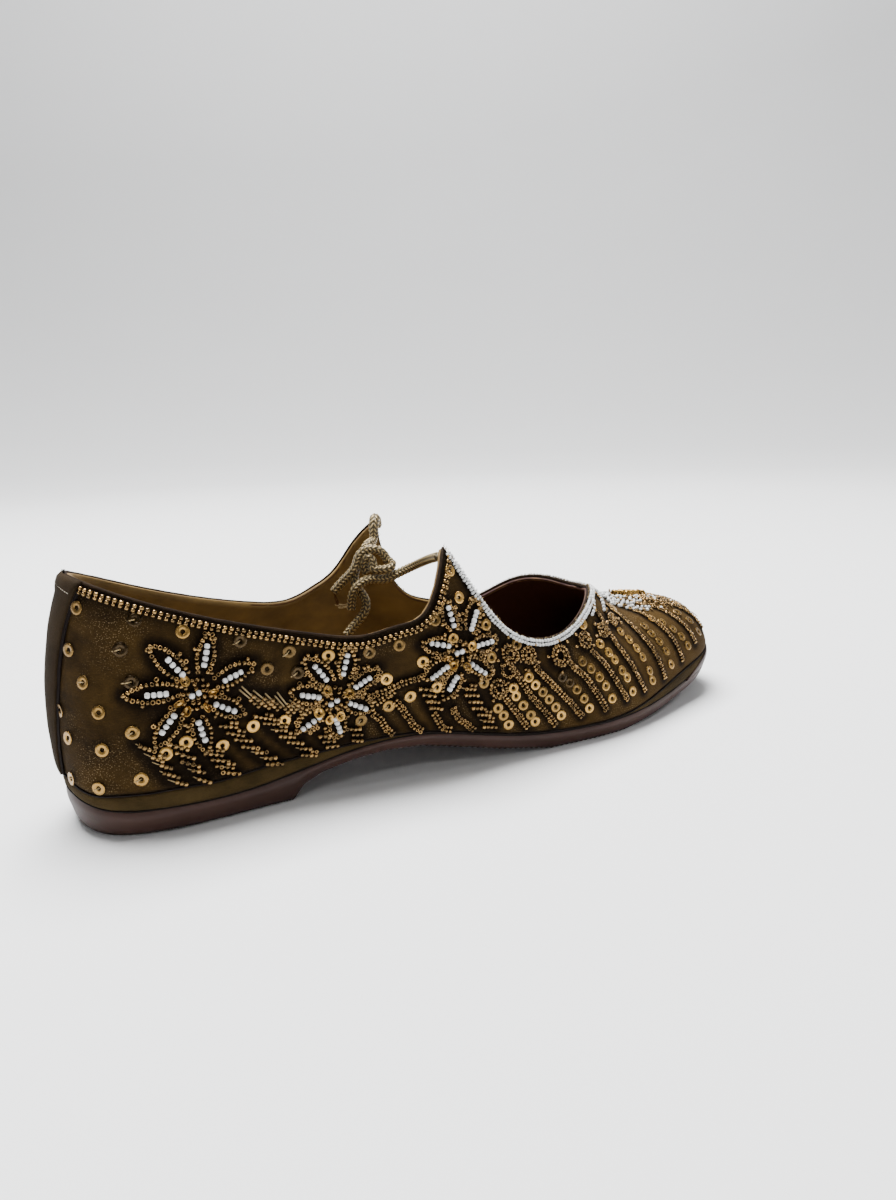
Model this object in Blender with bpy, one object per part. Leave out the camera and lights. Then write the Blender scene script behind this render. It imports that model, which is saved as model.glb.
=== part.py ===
"""A flat embroidered bridal slip-on with high side wings tied over the instep.

One straight last, which fits either foot, gives every curved piece. Ribs run up
from the edge of the sole to a ridge on the centre plane, and each piece of the
upper is a stretch of that skin: the rand, the upper above it, and the stay over
the heel seam. The sole and the insole use the same outline, drawn in.

Axes: +X from heel to toe, +Y to the shoe's left, +Z up, the floor at zero.
Lengths are in metres. Tables give places as fractions of the driving sizes.
"""

import bmesh
import bpy
import numpy as np
from mathutils import Vector

# ---------------------------------------------------------------- driving sizes
LENGTH = 0.250
BALL_WIDTH = 0.0775
HEEL_HEIGHT = 0.0080
INSTEP_HEIGHT = 0.0435

WALL = 0.0022
GAP = 0.0003
RAND_HEIGHT = 0.0038
STAY_THICKNESS = 0.0009
INSOLE_THICKNESS = 0.0030
CORD = 0.0027
MIDDLE = 0.5127 * LENGTH

# Stations round one side of the last, from the heel to the toe.
# along and crown: fractions of LENGTH. half: of half the BALL_WIDTH.
# lift: the sole's top edge, in HEEL_HEIGHTs. lean, rise and reach: in
# INSTEP_HEIGHTs, how far the wall leans out, climbs, and is held level at the crown.
LAST = (
    # name          along  half   lift  crown  lean   rise   reach
    ("heel back",   0.022, 0.000, 1.50, 0.165, 0.100, 0.890, 0.585),
    ("heel corner", 0.046, 0.445, 1.16, 0.180, 0.090, 0.875, 0.570),
    ("heel side",   0.120, 0.655, 1.00, 0.208, 0.065, 0.860, 0.520),
    ("heel front",  0.220, 0.675, 1.02, 0.264, 0.065, 0.910, 0.575),
    ("waist rear",  0.320, 0.725, 1.58, 0.336, 0.115, 0.970, 0.690),
    ("waist",       0.432, 0.820, 1.78, 0.432, 0.175, 0.945, 0.720),
    ("waist front", 0.544, 0.910, 1.08, 0.536, 0.120, 0.760, 0.610),
    ("ball rear",   0.648, 0.982, 0.71, 0.640, 0.070, 0.550, 0.620),
    ("ball",        0.736, 1.000, 0.70, 0.728, 0.045, 0.385, 0.580),
    ("ball front",  0.820, 0.895, 0.84, 0.808, 0.035, 0.388, 0.530),
    ("toe side",    0.904, 0.715, 1.12, 0.864, 0.050, 0.414, 0.455),
    ("toe corner",  0.984, 0.450, 1.50, 0.900, 0.080, 0.388, 0.375),
    ("toe tip",     1.018, 0.000, 1.68, 0.920, 0.065, 0.307, 0.290),
)

# The ridge of the last on the centre plane, in fractions of LENGTH and INSTEP_HEIGHTs.
RIDGE = (
    # along  height
    (0.080, 2.490),
    (0.240, 2.470),
    (0.380, 2.430),
    (0.480, 2.020),
    (0.560, 1.850),
    (0.640, 1.570),
    (0.720, 1.360),
    (0.792, 1.030),
    (0.856, 0.905),
    (0.916, 0.860),
)

# The top line from the heel to the peak of the wings, in the same units.
COLLAR = (
    # along  left   right
    (0.000, 1.828, 1.828),
    (0.040, 1.720, 1.720),
    (0.120, 1.517, 1.517),
    (0.220, 1.313, 1.313),
    (0.300, 1.189, 1.189),
    (0.360, 1.163, 1.140),
    (0.400, 1.241, 1.179),
    (0.440, 1.409, 1.269),
    (0.464, 1.632, 1.483),
    (0.482, 1.770, 1.662),
)
WING_PEAK = COLLAR[-1][0] * LENGTH

# The throat in front of the wings. share: how far along from the peak to the
# throat's end. left and right: the part of each side's rib that is left, before the
# end is rounded.
THROAT = (
    # share  left   right
    (0.10, 0.470, 0.478),
    (0.20, 0.382, 0.388),
    (0.35, 0.376, 0.355),
    (0.50, 0.400, 0.393),
    (0.65, 0.470, 0.480),
    (0.80, 0.620, 0.610),
    (1.00, 0.880, 0.880),
)
THROAT_END = 0.779 * LENGTH
THROAT_ROUNDING = 5.0

# The underside of the outsole: along in fractions of LENGTH, height in metres.
TREAD = (
    # along  height
    (0.020, 0.0000),
    (0.264, 0.0000),
    (0.276, 0.0040),
    (0.300, 0.0070),
    (0.340, 0.0092),
    (0.384, 0.0103),
    (0.432, 0.0097),
    (0.480, 0.0071),
    (0.540, 0.0036),
    (0.620, 0.0000),
    (0.745, 0.0000),
    (0.820, 0.0014),
    (0.904, 0.0040),
    (0.984, 0.0072),
    (1.018, 0.0084),
)

# The side of the outsole. down: share of its thickness. inset: in metres, at the heel.
SOLE_SIDE = (
    # name      down  inset
    ("edge",    0.00, 0.0006),
    ("swell",   0.20, 0.0001),
    ("wall",    0.60, 0.0011),
    ("corner",  0.90, 0.0024),
    ("tread",   1.00, 0.0034),
)
FOREPART_INSET = 0.62

# The stay over the heel seam: height share up the heel, and half its width.
STAY = (
    # share  half
    (0.00, 0.0030),
    (0.10, 0.0033),
    (0.30, 0.0050),
    (0.51, 0.0063),
    (0.73, 0.0078),
    (0.85, 0.0094),
    (0.92, 0.0108),
    (1.00, 0.0128),
)

# The tie: an egg-shaped knot, and runs of cord that each leave it square to its
# surface. leaves and returns are directions out of the knot's middle, and between are
# points on the middle of the cord, in metres. A run with a wing ends inside its tip.
KNOT_CENTRE = (0.1128, 0.0106, 0.0616)
KNOT_RADII = (0.0052, 0.0044, 0.0048)
TIP_DROP = 0.035
TIE_RUNS = (
    # name, leaves, between, returns, wing
    ("tie_strand_right", (0.70, -0.62, -0.30), ((0.1200, -0.0010, 0.0600), (0.1200, -0.0090, 0.0642)), None, -1),
    ("tie_strand_left", (0.45, 0.50, 0.74), ((0.1178, 0.0138, 0.0702),), None, 1),
    (
        "tie_loop",
        (-0.55, 0.10, 0.83),
        ((0.1080, 0.0108, 0.0696), (0.1112, 0.0104, 0.0722), (0.1146, 0.0098, 0.0708)),
        (0.30, -0.20, 0.93),
        None,
    ),
    ("tie_end_back", (-0.90, 0.30, 0.10), ((0.1020, 0.0132, 0.0612), (0.0968, 0.0144, 0.0545)), None, None),
    (
        "tie_end_down",
        (-0.45, 0.05, -0.89),
        ((0.1074, 0.0112, 0.0520), (0.1086, 0.0112, 0.0480), (0.1068, 0.0112, 0.0440), (0.1022, 0.0110, 0.0400)),
        None,
        None,
    ),
)

# ---------------------------------------------------------------- mesh counts
RIBS_HEEL_TO_PEAK = 22
RIBS_PEAK_TO_END = 16
RIBS_END_TO_TOE = 12
UPPER_ROWS = 11
CORD_SIDES_RESOLUTION = 2
CORD_POINTS_PER_RUN = 9

RUBBER = ("moulded rubber", (0.128, 0.078, 0.070), 0.55, 0.0)
CLOTH = ("napped cloth", (0.118, 0.082, 0.036), 0.85, 0.0)
RAND_CLOTH = ("rand cloth", (0.150, 0.110, 0.045), 0.85, 0.0)
LINING = ("tan lining leather", (0.330, 0.200, 0.080), 0.60, 0.0)
GOLD_CORD = ("braided gold cord", (0.560, 0.450, 0.270), 0.40, 0.6)


# ---------------------------------------------------------------- curves
def natural_spline(xs, ys):
    """A smooth curve through the points, with no bend at its two ends."""
    xs, ys = np.array(xs, float), np.array(ys, float)
    steps = np.diff(xs)
    count = len(xs)
    matrix = np.eye(count)
    right = np.zeros(count)
    for i in range(1, count - 1):
        matrix[i, i - 1 : i + 2] = steps[i - 1], 2 * (steps[i - 1] + steps[i]), steps[i]
        right[i] = 6 * ((ys[i + 1] - ys[i]) / steps[i] - (ys[i] - ys[i - 1]) / steps[i - 1])
    bends = np.linalg.solve(matrix, right)

    def value(x):
        i = np.clip(np.searchsorted(xs, x) - 1, 0, count - 2)
        b = (x - xs[i]) / steps[i]
        a = 1 - b
        curve = (a**3 - a) * bends[i] + (b**3 - b) * bends[i + 1]
        return a * ys[i] + b * ys[i + 1] + curve * steps[i] ** 2 / 6

    return value


def ring_spline(knots, rows, period):
    """The same through rows of several values, closed on itself after one period."""
    count = len(knots)
    steps = np.diff(np.append(knots, knots[0] + period))
    matrix = np.zeros((count, count))
    right = np.zeros(rows.shape)
    for i in range(count):
        before, after = (i - 1) % count, (i + 1) % count
        matrix[i, before] += steps[before]
        matrix[i, i] += 2 * (steps[before] + steps[i])
        matrix[i, after] += steps[i]
        slope_on = (rows[after] - rows[i]) / steps[i]
        slope_off = (rows[i] - rows[before]) / steps[before]
        right[i] = 6 * (slope_on - slope_off)
    bends = np.linalg.solve(matrix, right)

    def value(s):
        s = (s - knots[0]) % period + knots[0]
        i = min(max(int(np.searchsorted(knots, s, side="right")) - 1, 0), count - 1)
        after = (i + 1) % count
        b = (s - knots[i]) / steps[i]
        a = 1 - b
        curve = (a**3 - a) * bends[i] + (b**3 - b) * bends[after]
        return a * rows[i] + b * rows[after] + curve * steps[i] ** 2 / 6

    return value


def bezier(ends, t):
    """Points on a cubic with the four control points in ends, at each share t."""
    t = np.atleast_1d(t)[:, None]
    a, b, c, d = ends
    return (1 - t) ** 3 * a + 3 * (1 - t) ** 2 * t * b + 3 * (1 - t) * t**2 * c + t**3 * d


# ---------------------------------------------------------------- the last
def last_rows():
    """LAST in metres: x, y, z, crown x, lean, rise, reach."""
    units = np.array(
        [LENGTH, BALL_WIDTH / 2, HEEL_HEIGHT, LENGTH, INSTEP_HEIGHT, INSTEP_HEIGHT, INSTEP_HEIGHT]
    )
    return np.array([row[1:] for row in LAST]) * units


def side_outline():
    """(curve, length): LAST as a smooth ring round both sides, by distance from the heel."""
    rows = last_rows()
    strides = np.linalg.norm(np.diff(rows[:, :2], axis=0), axis=1)
    places = np.concatenate([[0.0], np.cumsum(strides)])
    other_side = rows[-2:0:-1] * np.array([1, -1, 1, 1, 1, 1, 1])
    total = places[-1]
    knots = np.concatenate([places, 2 * total - places[-2:0:-1]])
    return ring_spline(knots, np.concatenate([rows, other_side]), 2 * total), total


OUTLINE, HALF_OUTLINE = side_outline()
ridge_height = natural_spline(
    [row[0] * LENGTH for row in RIDGE], [row[1] * INSTEP_HEIGHT for row in RIDGE]
)


def rib(u):
    """(four control points, outward direction) of the rib at share u of the left outline."""
    place = u * HALF_OUTLINE
    x, y, z, crown_x, lean, rise, reach = OUTLINE(place)
    ahead, behind = OUTLINE(place + 1e-5), OUTLINE(place - 1e-5)
    along = (ahead - behind)[:2] / np.linalg.norm((ahead - behind)[:2])
    out = np.array([-along[1], along[0], 0.0])
    foot = np.array([x, y, z])
    crown = np.array([crown_x, 0.0, ridge_height(crown_x)])
    slope = (ridge_height(crown_x + 1e-4) - ridge_height(crown_x - 1e-4)) / 2e-4
    level = (foot - crown) * np.array([1, 1, 0])
    level /= np.linalg.norm(level)
    level[2] = slope * level[0]
    shoulder = foot + out * lean + np.array([0, 0, rise])
    return np.array([foot, shoulder, crown + level * reach, crown]), out


def rib_share(u, climb):
    """The share of the rib at u that lies climb metres above its foot, along it."""
    shares = np.linspace(0, 0.4, 161)
    points = bezier(rib(u)[0], shares)
    climbed = np.concatenate([[0.0], np.cumsum(np.linalg.norm(np.diff(points, axis=0), axis=1))])
    return float(np.interp(climb, climbed, shares))


def solve(function, low, high):
    """Where a function that changes sign once between low and high is zero."""
    start = function(low) > 0
    for _ in range(50):
        middle = (low + high) / 2
        if (function(middle) > 0) == start:
            low = middle
        else:
            high = middle
    return (low + high) / 2


def column_of(side):
    """The column of COLLAR and THROAT for the left side, 1, or the right side, -1."""
    return 1 if side > 0 else 2


def collar_height(side):
    along = [row[0] * LENGTH for row in COLLAR]
    return natural_spline(along, [row[column_of(side)] * INSTEP_HEIGHT for row in COLLAR])


class TopLine:
    """Where each rib of one side stops: at the collar, round the throat, or at the ridge."""

    def __init__(self, side):
        self.height = collar_height(side)
        self.peak = solve(lambda u: self.at_height(u, True)[0] - WING_PEAK, 0.30, 0.62)
        self.end = solve(lambda u: rib(u)[0][3][0] - THROAT_END, 0.60, 0.95)
        peak_cut = self.at_height(self.peak, True)[1]
        shares = [0.0] + [row[0] for row in THROAT]
        cuts = [peak_cut] + [row[column_of(side)] for row in THROAT]
        self.throat = natural_spline(shares, cuts)

    def at_height(self, u, at_peak=False):
        """(x, share) where the rib meets the collar's height, there or at the wing's peak."""
        ends = rib(u)[0]

        def short_of(t):
            x, _, z = bezier(ends, t)[0]
            return self.height(WING_PEAK if at_peak else min(max(x, 0.0), WING_PEAK)) - z

        share = solve(short_of, 0.0, 0.95)
        return bezier(ends, share)[0][0], share

    def cut(self, u):
        if u <= self.peak:
            return self.at_height(u)[1]
        if u >= self.end - 1e-9:
            return 1.0
        share = (u - self.peak) / (self.end - self.peak)
        rounding = (1 - share**THROAT_ROUNDING) ** (1 / THROAT_ROUNDING)
        return 1 - (1 - float(self.throat(share))) * rounding


def skin_grid(side, places, low_climb, high_share, rows):
    """Points of one side's skin, a column for each place, from low_climb to high_share."""
    grid = []
    for u in places:
        low = rib_share(u, low_climb)
        points = bezier(rib(u)[0], np.linspace(low, high_share(u), rows + 1))
        grid.append(points * np.array([1, side, 1]))
    return grid


def rib_places(line):
    """Shares round one side: even to the peak, closer together towards the throat's end."""
    back = np.linspace(0, line.peak, RIBS_HEEL_TO_PEAK + 1)
    steps = np.linspace(0, 1, RIBS_PEAK_TO_END + 1)[1:]
    throat = line.peak + (line.end - line.peak) * (1 - (1 - steps) ** 1.7)
    front = np.linspace(line.end, 1, RIBS_END_TO_TOE + 1)[1:]
    return np.concatenate([back, throat, front])


def sole_top(x):
    """Height of the sole's flat top at x, which all that stands on it follows."""
    rows = last_rows()
    return natural_spline(rows[:, 0], rows[:, 2])(x)


def inset_outline(places, inset):
    """The left outline drawn in by inset metres, or by a list with one for each place."""
    insets = np.broadcast_to(inset, len(places))
    return np.array([rib(u)[0][0] - rib(u)[1] * d for u, d in zip(places, insets)])


# ---------------------------------------------------------------- making objects
def material(look):
    name, colour, roughness, metallic = look
    made = bpy.data.materials.get(name) or bpy.data.materials.new(name)
    made.use_nodes = True
    shader = made.node_tree.nodes["Principled BSDF"]
    shader.inputs["Base Color"].default_value = (*colour, 1.0)
    shader.inputs["Roughness"].default_value = roughness
    shader.inputs["Metallic"].default_value = metallic
    made.diffuse_color = (*colour, 1.0)
    return made


def finish_object(name, data, look):
    made = bpy.data.objects.new(name, data)
    data.materials.append(material(look))
    bpy.context.scene.collection.objects.link(made)
    return made


def mesh_object(name, bm, look, sharp_degrees=40):
    """An object from a bmesh, welded, with its faces outward and its round parts smooth."""
    bmesh.ops.remove_doubles(bm, verts=bm.verts, dist=2e-6)
    bmesh.ops.recalc_face_normals(bm, faces=bm.faces)
    mesh = bpy.data.meshes.new(name)
    bm.to_mesh(mesh)
    bm.free()
    mesh.shade_smooth()
    mesh.set_sharp_from_angle(angle=np.radians(sharp_degrees))
    return finish_object(name, mesh, look)


def add_grid(bm, grid, closed=False):
    """Faces over a grid of points given as columns, the last joined to the first if closed."""
    columns = [[bm.verts.new(point) for point in column] for column in grid]
    pairs = list(zip(columns, columns[1:]))
    if closed:
        pairs.append((columns[-1], columns[0]))
    for one, other in pairs:
        for k in range(len(one) - 1):
            bm.faces.new((one[k], other[k], other[k + 1], one[k + 1]))


def all_round(left, right):
    """One ring of columns: along the left side to the toe and back along the right."""
    return left + right[-2:0:-1]


def thicken(made, thickness, outward=False):
    solidify = made.modifiers.new("Wall", "SOLIDIFY")
    solidify.thickness = thickness
    solidify.offset = 1 if outward else -1
    solidify.use_even_offset = True
    solidify.use_rim = True


def outward_skin(bm):
    """Turns an open skin round the last so that its normals point away from the middle."""
    bmesh.ops.remove_doubles(bm, verts=bm.verts, dist=2e-6)
    bmesh.ops.recalc_face_normals(bm, faces=bm.faces)
    lowest = min(bm.faces, key=lambda face: face.calc_center_median().x)
    if lowest.normal.x > 0:
        bmesh.ops.reverse_faces(bm, faces=bm.faces)


def skin_object(name, bm, look):
    outward_skin(bm)
    mesh = bpy.data.meshes.new(name)
    bm.to_mesh(mesh)
    bm.free()
    mesh.shade_smooth()
    return finish_object(name, mesh, look)


# ---------------------------------------------------------------- the pieces
def make_upper(lines):
    """One hollow wall, open at the collar and throat and underneath."""
    seam = RAND_HEIGHT + 3 * GAP
    left, right = (
        skin_grid(side, rib_places(lines[side]), seam, lines[side].cut, UPPER_ROWS)
        for side in (1, -1)
    )
    bm = bmesh.new()
    add_grid(bm, all_round(left, right), closed=True)
    upper = skin_object("upper", bm, CLOTH)
    thicken(upper, WALL)
    return upper


def make_rand(lines):
    """The band of cloth between the seam line and the sole."""
    top = RAND_HEIGHT + GAP
    left, right = (
        skin_grid(side, rib_places(lines[1]), GAP, lambda u: rib_share(u, top), 2)
        for side in (1, -1)
    )
    bm = bmesh.new()
    add_grid(bm, all_round(left, right), closed=True)
    rand = skin_object("rand", bm, RAND_CLOTH)
    thicken(rand, WALL)
    return rand


def stay_half_width(share):
    return float(np.interp(share, *zip(*STAY)))


def make_back_stay(line):
    """The strip over the heel seam, wider at the top, just clear of the upper."""
    rows, columns = 14, 8
    low = RAND_HEIGHT + 4 * GAP
    bm = bmesh.new()
    grid = []
    for across in np.linspace(-1, 1, columns + 1):
        column = []
        for share in np.linspace(0, 1, rows + 1):
            u = abs(across) * stay_half_width(share) / HALF_OUTLINE
            foot = rib_share(u, low)
            t = foot + (line.cut(u) - foot) * share
            point = bezier(rib(u)[0], t)[0]
            point[1] *= 1 if across >= 0 else -1
            column.append(Vector(point) + skin_normal(u, t, across) * GAP)
        grid.append(column)
    add_grid(bm, grid)
    stay = skin_object("back_stay", bm, RAND_CLOTH)
    thicken(stay, STAY_THICKNESS, outward=True)
    return stay


def skin_normal(u, t, side):
    """The skin's outward normal at share t of the rib at u, on the given side."""
    step = 1e-4
    up = bezier(rib(u)[0], [t - step, t + step])
    round_ = np.array([bezier(rib(v)[0], t)[0] for v in (u - step, u + step)])
    normal = Vector(np.cross(up[1] - up[0], round_[1] - round_[0])).normalized()
    if normal.dot(Vector(rib(u)[1])) < 0:
        normal.negate()
    if side < 0:
        normal.y = -normal.y
    return normal


def sole_places():
    """Shares round one side that hit every corner of the tread, with some between."""
    corners = [row[0] * LENGTH for row in TREAD[1:-1]]
    found = [solve(lambda u, x=x: rib(u)[0][0][0] - x, 0.0, 1.0) for x in corners]
    between = np.concatenate([np.linspace(0, 0.30, 18), np.linspace(0.42, 1, 44)])
    spread = [u for u in between if min(abs(u - f) for f in found) > 0.006]
    return sorted(found + spread)


def tread_height(x):
    return float(np.interp(x, [row[0] * LENGTH for row in TREAD], [row[1] for row in TREAD]))


def make_outsole():
    """Heel, waist and forepart moulded in one, with a low breasted heel and toe spring."""
    places = sole_places()
    fore = [np.interp(rib(u)[0][0][0] / LENGTH, [0.30, 0.55], [1, FOREPART_INSET]) for u in places]
    rings = []
    for _, down, inset in SOLE_SIDE:
        ring = inset_outline(places, [inset * f for f in fore])
        for point in ring:
            top = sole_top(point[0])
            point[2] = top + (tread_height(point[0]) - top) * down
        rings.append(ring)
    bm = bmesh.new()
    columns = [[ring[k] for ring in rings] for k in range(len(places))]
    mirrored = [[point * np.array([1, -1, 1]) for point in column] for column in columns]
    add_grid(bm, all_round(columns, mirrored), closed=True)
    for row in (0, -1):
        add_grid(bm, [(one[row], other[row]) for one, other in zip(columns, mirrored)])
    return mesh_object("outsole", bm, RUBBER)


def make_insole():
    """The footbed on the sole, just inside the rand and the upper."""
    places = np.linspace(0, 1, 57)
    edge = inset_outline(places, WALL + 2 * GAP)
    lower, upper = edge.copy(), edge.copy()
    for low, high in zip(lower, upper):
        low[2] = sole_top(low[0]) + GAP
        high[2] = low[2] + INSOLE_THICKNESS
    bm = bmesh.new()
    columns = [list(pair) for pair in zip(lower, upper)]
    mirrored = [[point * np.array([1, -1, 1]) for point in column] for column in columns]
    add_grid(bm, all_round(columns, mirrored), closed=True)
    for row in (0, 1):
        add_grid(bm, [(one[row], other[row]) for one, other in zip(columns, mirrored)])
    return mesh_object("insole", bm, LINING)


def smooth_route(points, count):
    """Evenly spread points on a smooth curve through the route's own points."""
    points = np.array(points)
    strides = np.linalg.norm(np.diff(points, axis=0), axis=1)
    places = np.concatenate([[0.0], np.cumsum(strides)])
    axes = [natural_spline(places, points[:, k]) for k in range(3)]
    return [[float(axis(s)) for axis in axes] for s in np.linspace(0, places[-1], count)]


def knot_exit(direction):
    """The first two points of a cord that leaves the knot the given way."""
    middle, way = Vector(KNOT_CENTRE), Vector(direction).normalized()
    reach = 1 / sum((w / radius) ** 2 for w, radius in zip(way, KNOT_RADII)) ** 0.5
    square = Vector([w / radius**2 for w, radius in zip(way, KNOT_RADII)]).normalized()
    return [middle + way * reach + square * far for far in (GAP, GAP + CORD / 2)]


def wing_end(line, side):
    """The last two points of a cord that ends square to the inside of a wing's tip."""
    share = line.cut(line.peak) - TIP_DROP
    skin = Vector(bezier(rib(line.peak)[0], share)[0] * np.array([1, side, 1]))
    square = skin_normal(line.peak, share, side)
    return [skin - square * (WALL + far) for far in (2 * GAP + CORD / 2, 2 * GAP)]


def tie_points(lines, leaves, between, returns, wing):
    points = knot_exit(leaves) + [Vector(point) for point in between]
    if returns:
        points += knot_exit(returns)[::-1]
    if wing:
        points += wing_end(lines[wing], wing)
    return points


def make_cord(name, points):
    curve = bpy.data.curves.new(name, "CURVE")
    curve.dimensions = "3D"
    curve.bevel_depth = CORD / 2
    curve.bevel_resolution = CORD_SIDES_RESOLUTION
    curve.use_fill_caps = True
    spline = curve.splines.new("POLY")
    route = smooth_route(points, CORD_POINTS_PER_RUN)
    spline.points.add(len(route) - 1)
    for spot, place in zip(spline.points, route):
        spot.co = (*place, 1.0)
    spline.use_smooth = True
    return finish_object(name, curve, GOLD_CORD)


def make_knot():
    bm = bmesh.new()
    bmesh.ops.create_uvsphere(bm, u_segments=14, v_segments=9, radius=1.0)
    bmesh.ops.scale(bm, vec=Vector(KNOT_RADII), verts=bm.verts)
    knot = mesh_object("tie_knot", bm, GOLD_CORD)
    knot.location = KNOT_CENTRE
    return knot


def main():
    for old in list(bpy.data.objects):
        bpy.data.objects.remove(old)
    lines = {side: TopLine(side) for side in (1, -1)}
    make_outsole()
    make_insole()
    make_rand(lines)
    make_upper(lines)
    make_back_stay(lines[1])
    for name, leaves, between, returns, wing in TIE_RUNS:
        make_cord(name, tie_points(lines, leaves, between, returns, wing))
    make_knot()
    middle = bpy.data.objects.new("shoe", None)
    bpy.context.scene.collection.objects.link(middle)
    for made in bpy.data.objects:
        if made is not middle:
            made.parent = middle
    # The origin is on the floor under the middle of the shoe's length.
    middle.location.x = -MIDDLE


if __name__ == "__main__":
    main()
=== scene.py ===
"""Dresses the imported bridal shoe: cloth, lining, beads, sequins, tie, sole and studio.

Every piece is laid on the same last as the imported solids. A place on it is given as
around, the distance round the sole's edge from the heel, and climb, the distance up
the wall from that edge, both in millimetres. Side 1 is the shoe's left, -1 its right.
"""

import math
import random

import bmesh
import bpy
import numpy as np
from mathutils import Matrix, Vector, noise


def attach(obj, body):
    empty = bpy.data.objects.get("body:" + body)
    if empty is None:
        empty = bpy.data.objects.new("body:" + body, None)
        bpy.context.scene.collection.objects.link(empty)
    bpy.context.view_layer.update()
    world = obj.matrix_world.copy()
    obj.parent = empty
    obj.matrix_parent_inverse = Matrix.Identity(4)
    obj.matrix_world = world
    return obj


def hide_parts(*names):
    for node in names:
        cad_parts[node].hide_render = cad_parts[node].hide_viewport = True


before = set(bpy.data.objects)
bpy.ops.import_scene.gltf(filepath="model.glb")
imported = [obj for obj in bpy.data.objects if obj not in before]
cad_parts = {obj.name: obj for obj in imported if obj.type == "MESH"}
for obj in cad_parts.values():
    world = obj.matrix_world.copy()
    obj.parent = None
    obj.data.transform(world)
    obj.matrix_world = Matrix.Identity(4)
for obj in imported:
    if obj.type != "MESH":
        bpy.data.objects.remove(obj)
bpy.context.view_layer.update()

bl_info = {
    "name": "Embroidered bridal shoe",
    "version": (1, 0, 0),
    "blender": (4, 5, 0),
    "location": "View3D > Sidebar > Shoe",
    "description": "Dresses the packed shoe with cloth, beads, sequins, a cord tie and a studio",
    "category": "Object",
}

MM = 0.001
SIDES = (1, -1)

# ---------------------------------------------------------------- driving sizes
LENGTH = 0.250
BALL_WIDTH = 0.0775
HEEL_HEIGHT = 0.0080
INSTEP_HEIGHT = 0.0435
WALL = 0.0022
MIDDLE = 0.5127 * LENGTH

# The last, as in the part's source: stations round one side, heel to toe.
LAST = (
    # name          along  half   lift  crown  lean   rise   reach
    ("heel back",   0.022, 0.000, 1.50, 0.165, 0.100, 0.890, 0.585),
    ("heel corner", 0.046, 0.445, 1.16, 0.180, 0.090, 0.875, 0.570),
    ("heel side",   0.120, 0.655, 1.00, 0.208, 0.065, 0.860, 0.520),
    ("heel front",  0.220, 0.675, 1.02, 0.264, 0.065, 0.910, 0.575),
    ("waist rear",  0.320, 0.725, 1.58, 0.336, 0.115, 0.970, 0.690),
    ("waist",       0.432, 0.820, 1.78, 0.432, 0.175, 0.945, 0.720),
    ("waist front", 0.544, 0.910, 1.08, 0.536, 0.120, 0.760, 0.610),
    ("ball rear",   0.648, 0.982, 0.71, 0.640, 0.070, 0.550, 0.620),
    ("ball",        0.736, 1.000, 0.70, 0.728, 0.045, 0.385, 0.580),
    ("ball front",  0.820, 0.895, 0.84, 0.808, 0.035, 0.388, 0.530),
    ("toe side",    0.904, 0.715, 1.12, 0.864, 0.050, 0.414, 0.455),
    ("toe corner",  0.984, 0.450, 1.50, 0.900, 0.080, 0.388, 0.375),
    ("toe tip",     1.018, 0.000, 1.68, 0.920, 0.065, 0.307, 0.290),
)
RIDGE = (
    # along  height
    (0.080, 2.490),
    (0.240, 2.470),
    (0.380, 2.430),
    (0.480, 2.020),
    (0.560, 1.850),
    (0.640, 1.570),
    (0.720, 1.360),
    (0.792, 1.030),
    (0.856, 0.905),
    (0.916, 0.860),
)
COLLAR = (
    # along  left   right
    (0.000, 1.828, 1.828),
    (0.040, 1.720, 1.720),
    (0.120, 1.517, 1.517),
    (0.220, 1.313, 1.313),
    (0.300, 1.189, 1.189),
    (0.360, 1.163, 1.140),
    (0.400, 1.241, 1.179),
    (0.440, 1.409, 1.269),
    (0.464, 1.632, 1.483),
    (0.482, 1.770, 1.662),
)
WING_PEAK = COLLAR[-1][0] * LENGTH
THROAT = (
    # share  left   right
    (0.10, 0.470, 0.478),
    (0.20, 0.382, 0.388),
    (0.35, 0.376, 0.355),
    (0.50, 0.400, 0.393),
    (0.65, 0.470, 0.480),
    (0.80, 0.620, 0.610),
    (1.00, 0.880, 0.880),
)
THROAT_END = 0.779 * LENGTH
THROAT_ROUNDING = 5.0
# The sole's underside: along in fractions of LENGTH, height in metres.
TREAD = (
    # along  height
    (0.020, 0.0000),
    (0.264, 0.0000),
    (0.276, 0.0040),
    (0.300, 0.0070),
    (0.340, 0.0092),
    (0.384, 0.0103),
    (0.432, 0.0097),
    (0.480, 0.0071),
    (0.540, 0.0036),
    (0.620, 0.0000),
    (0.745, 0.0000),
    (0.820, 0.0014),
    (0.904, 0.0040),
    (0.984, 0.0072),
    (1.018, 0.0084),
)
# The sole's side: share of its thickness down, and inset in metres, at the heel.
SOLE_SIDE = (
    # down  inset
    (0.00, 0.0006),
    (0.20, 0.0001),
    (0.60, 0.0011),
    (0.90, 0.0024),
    (1.00, 0.0034),
)
FOREPART_INSET = 0.62


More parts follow.
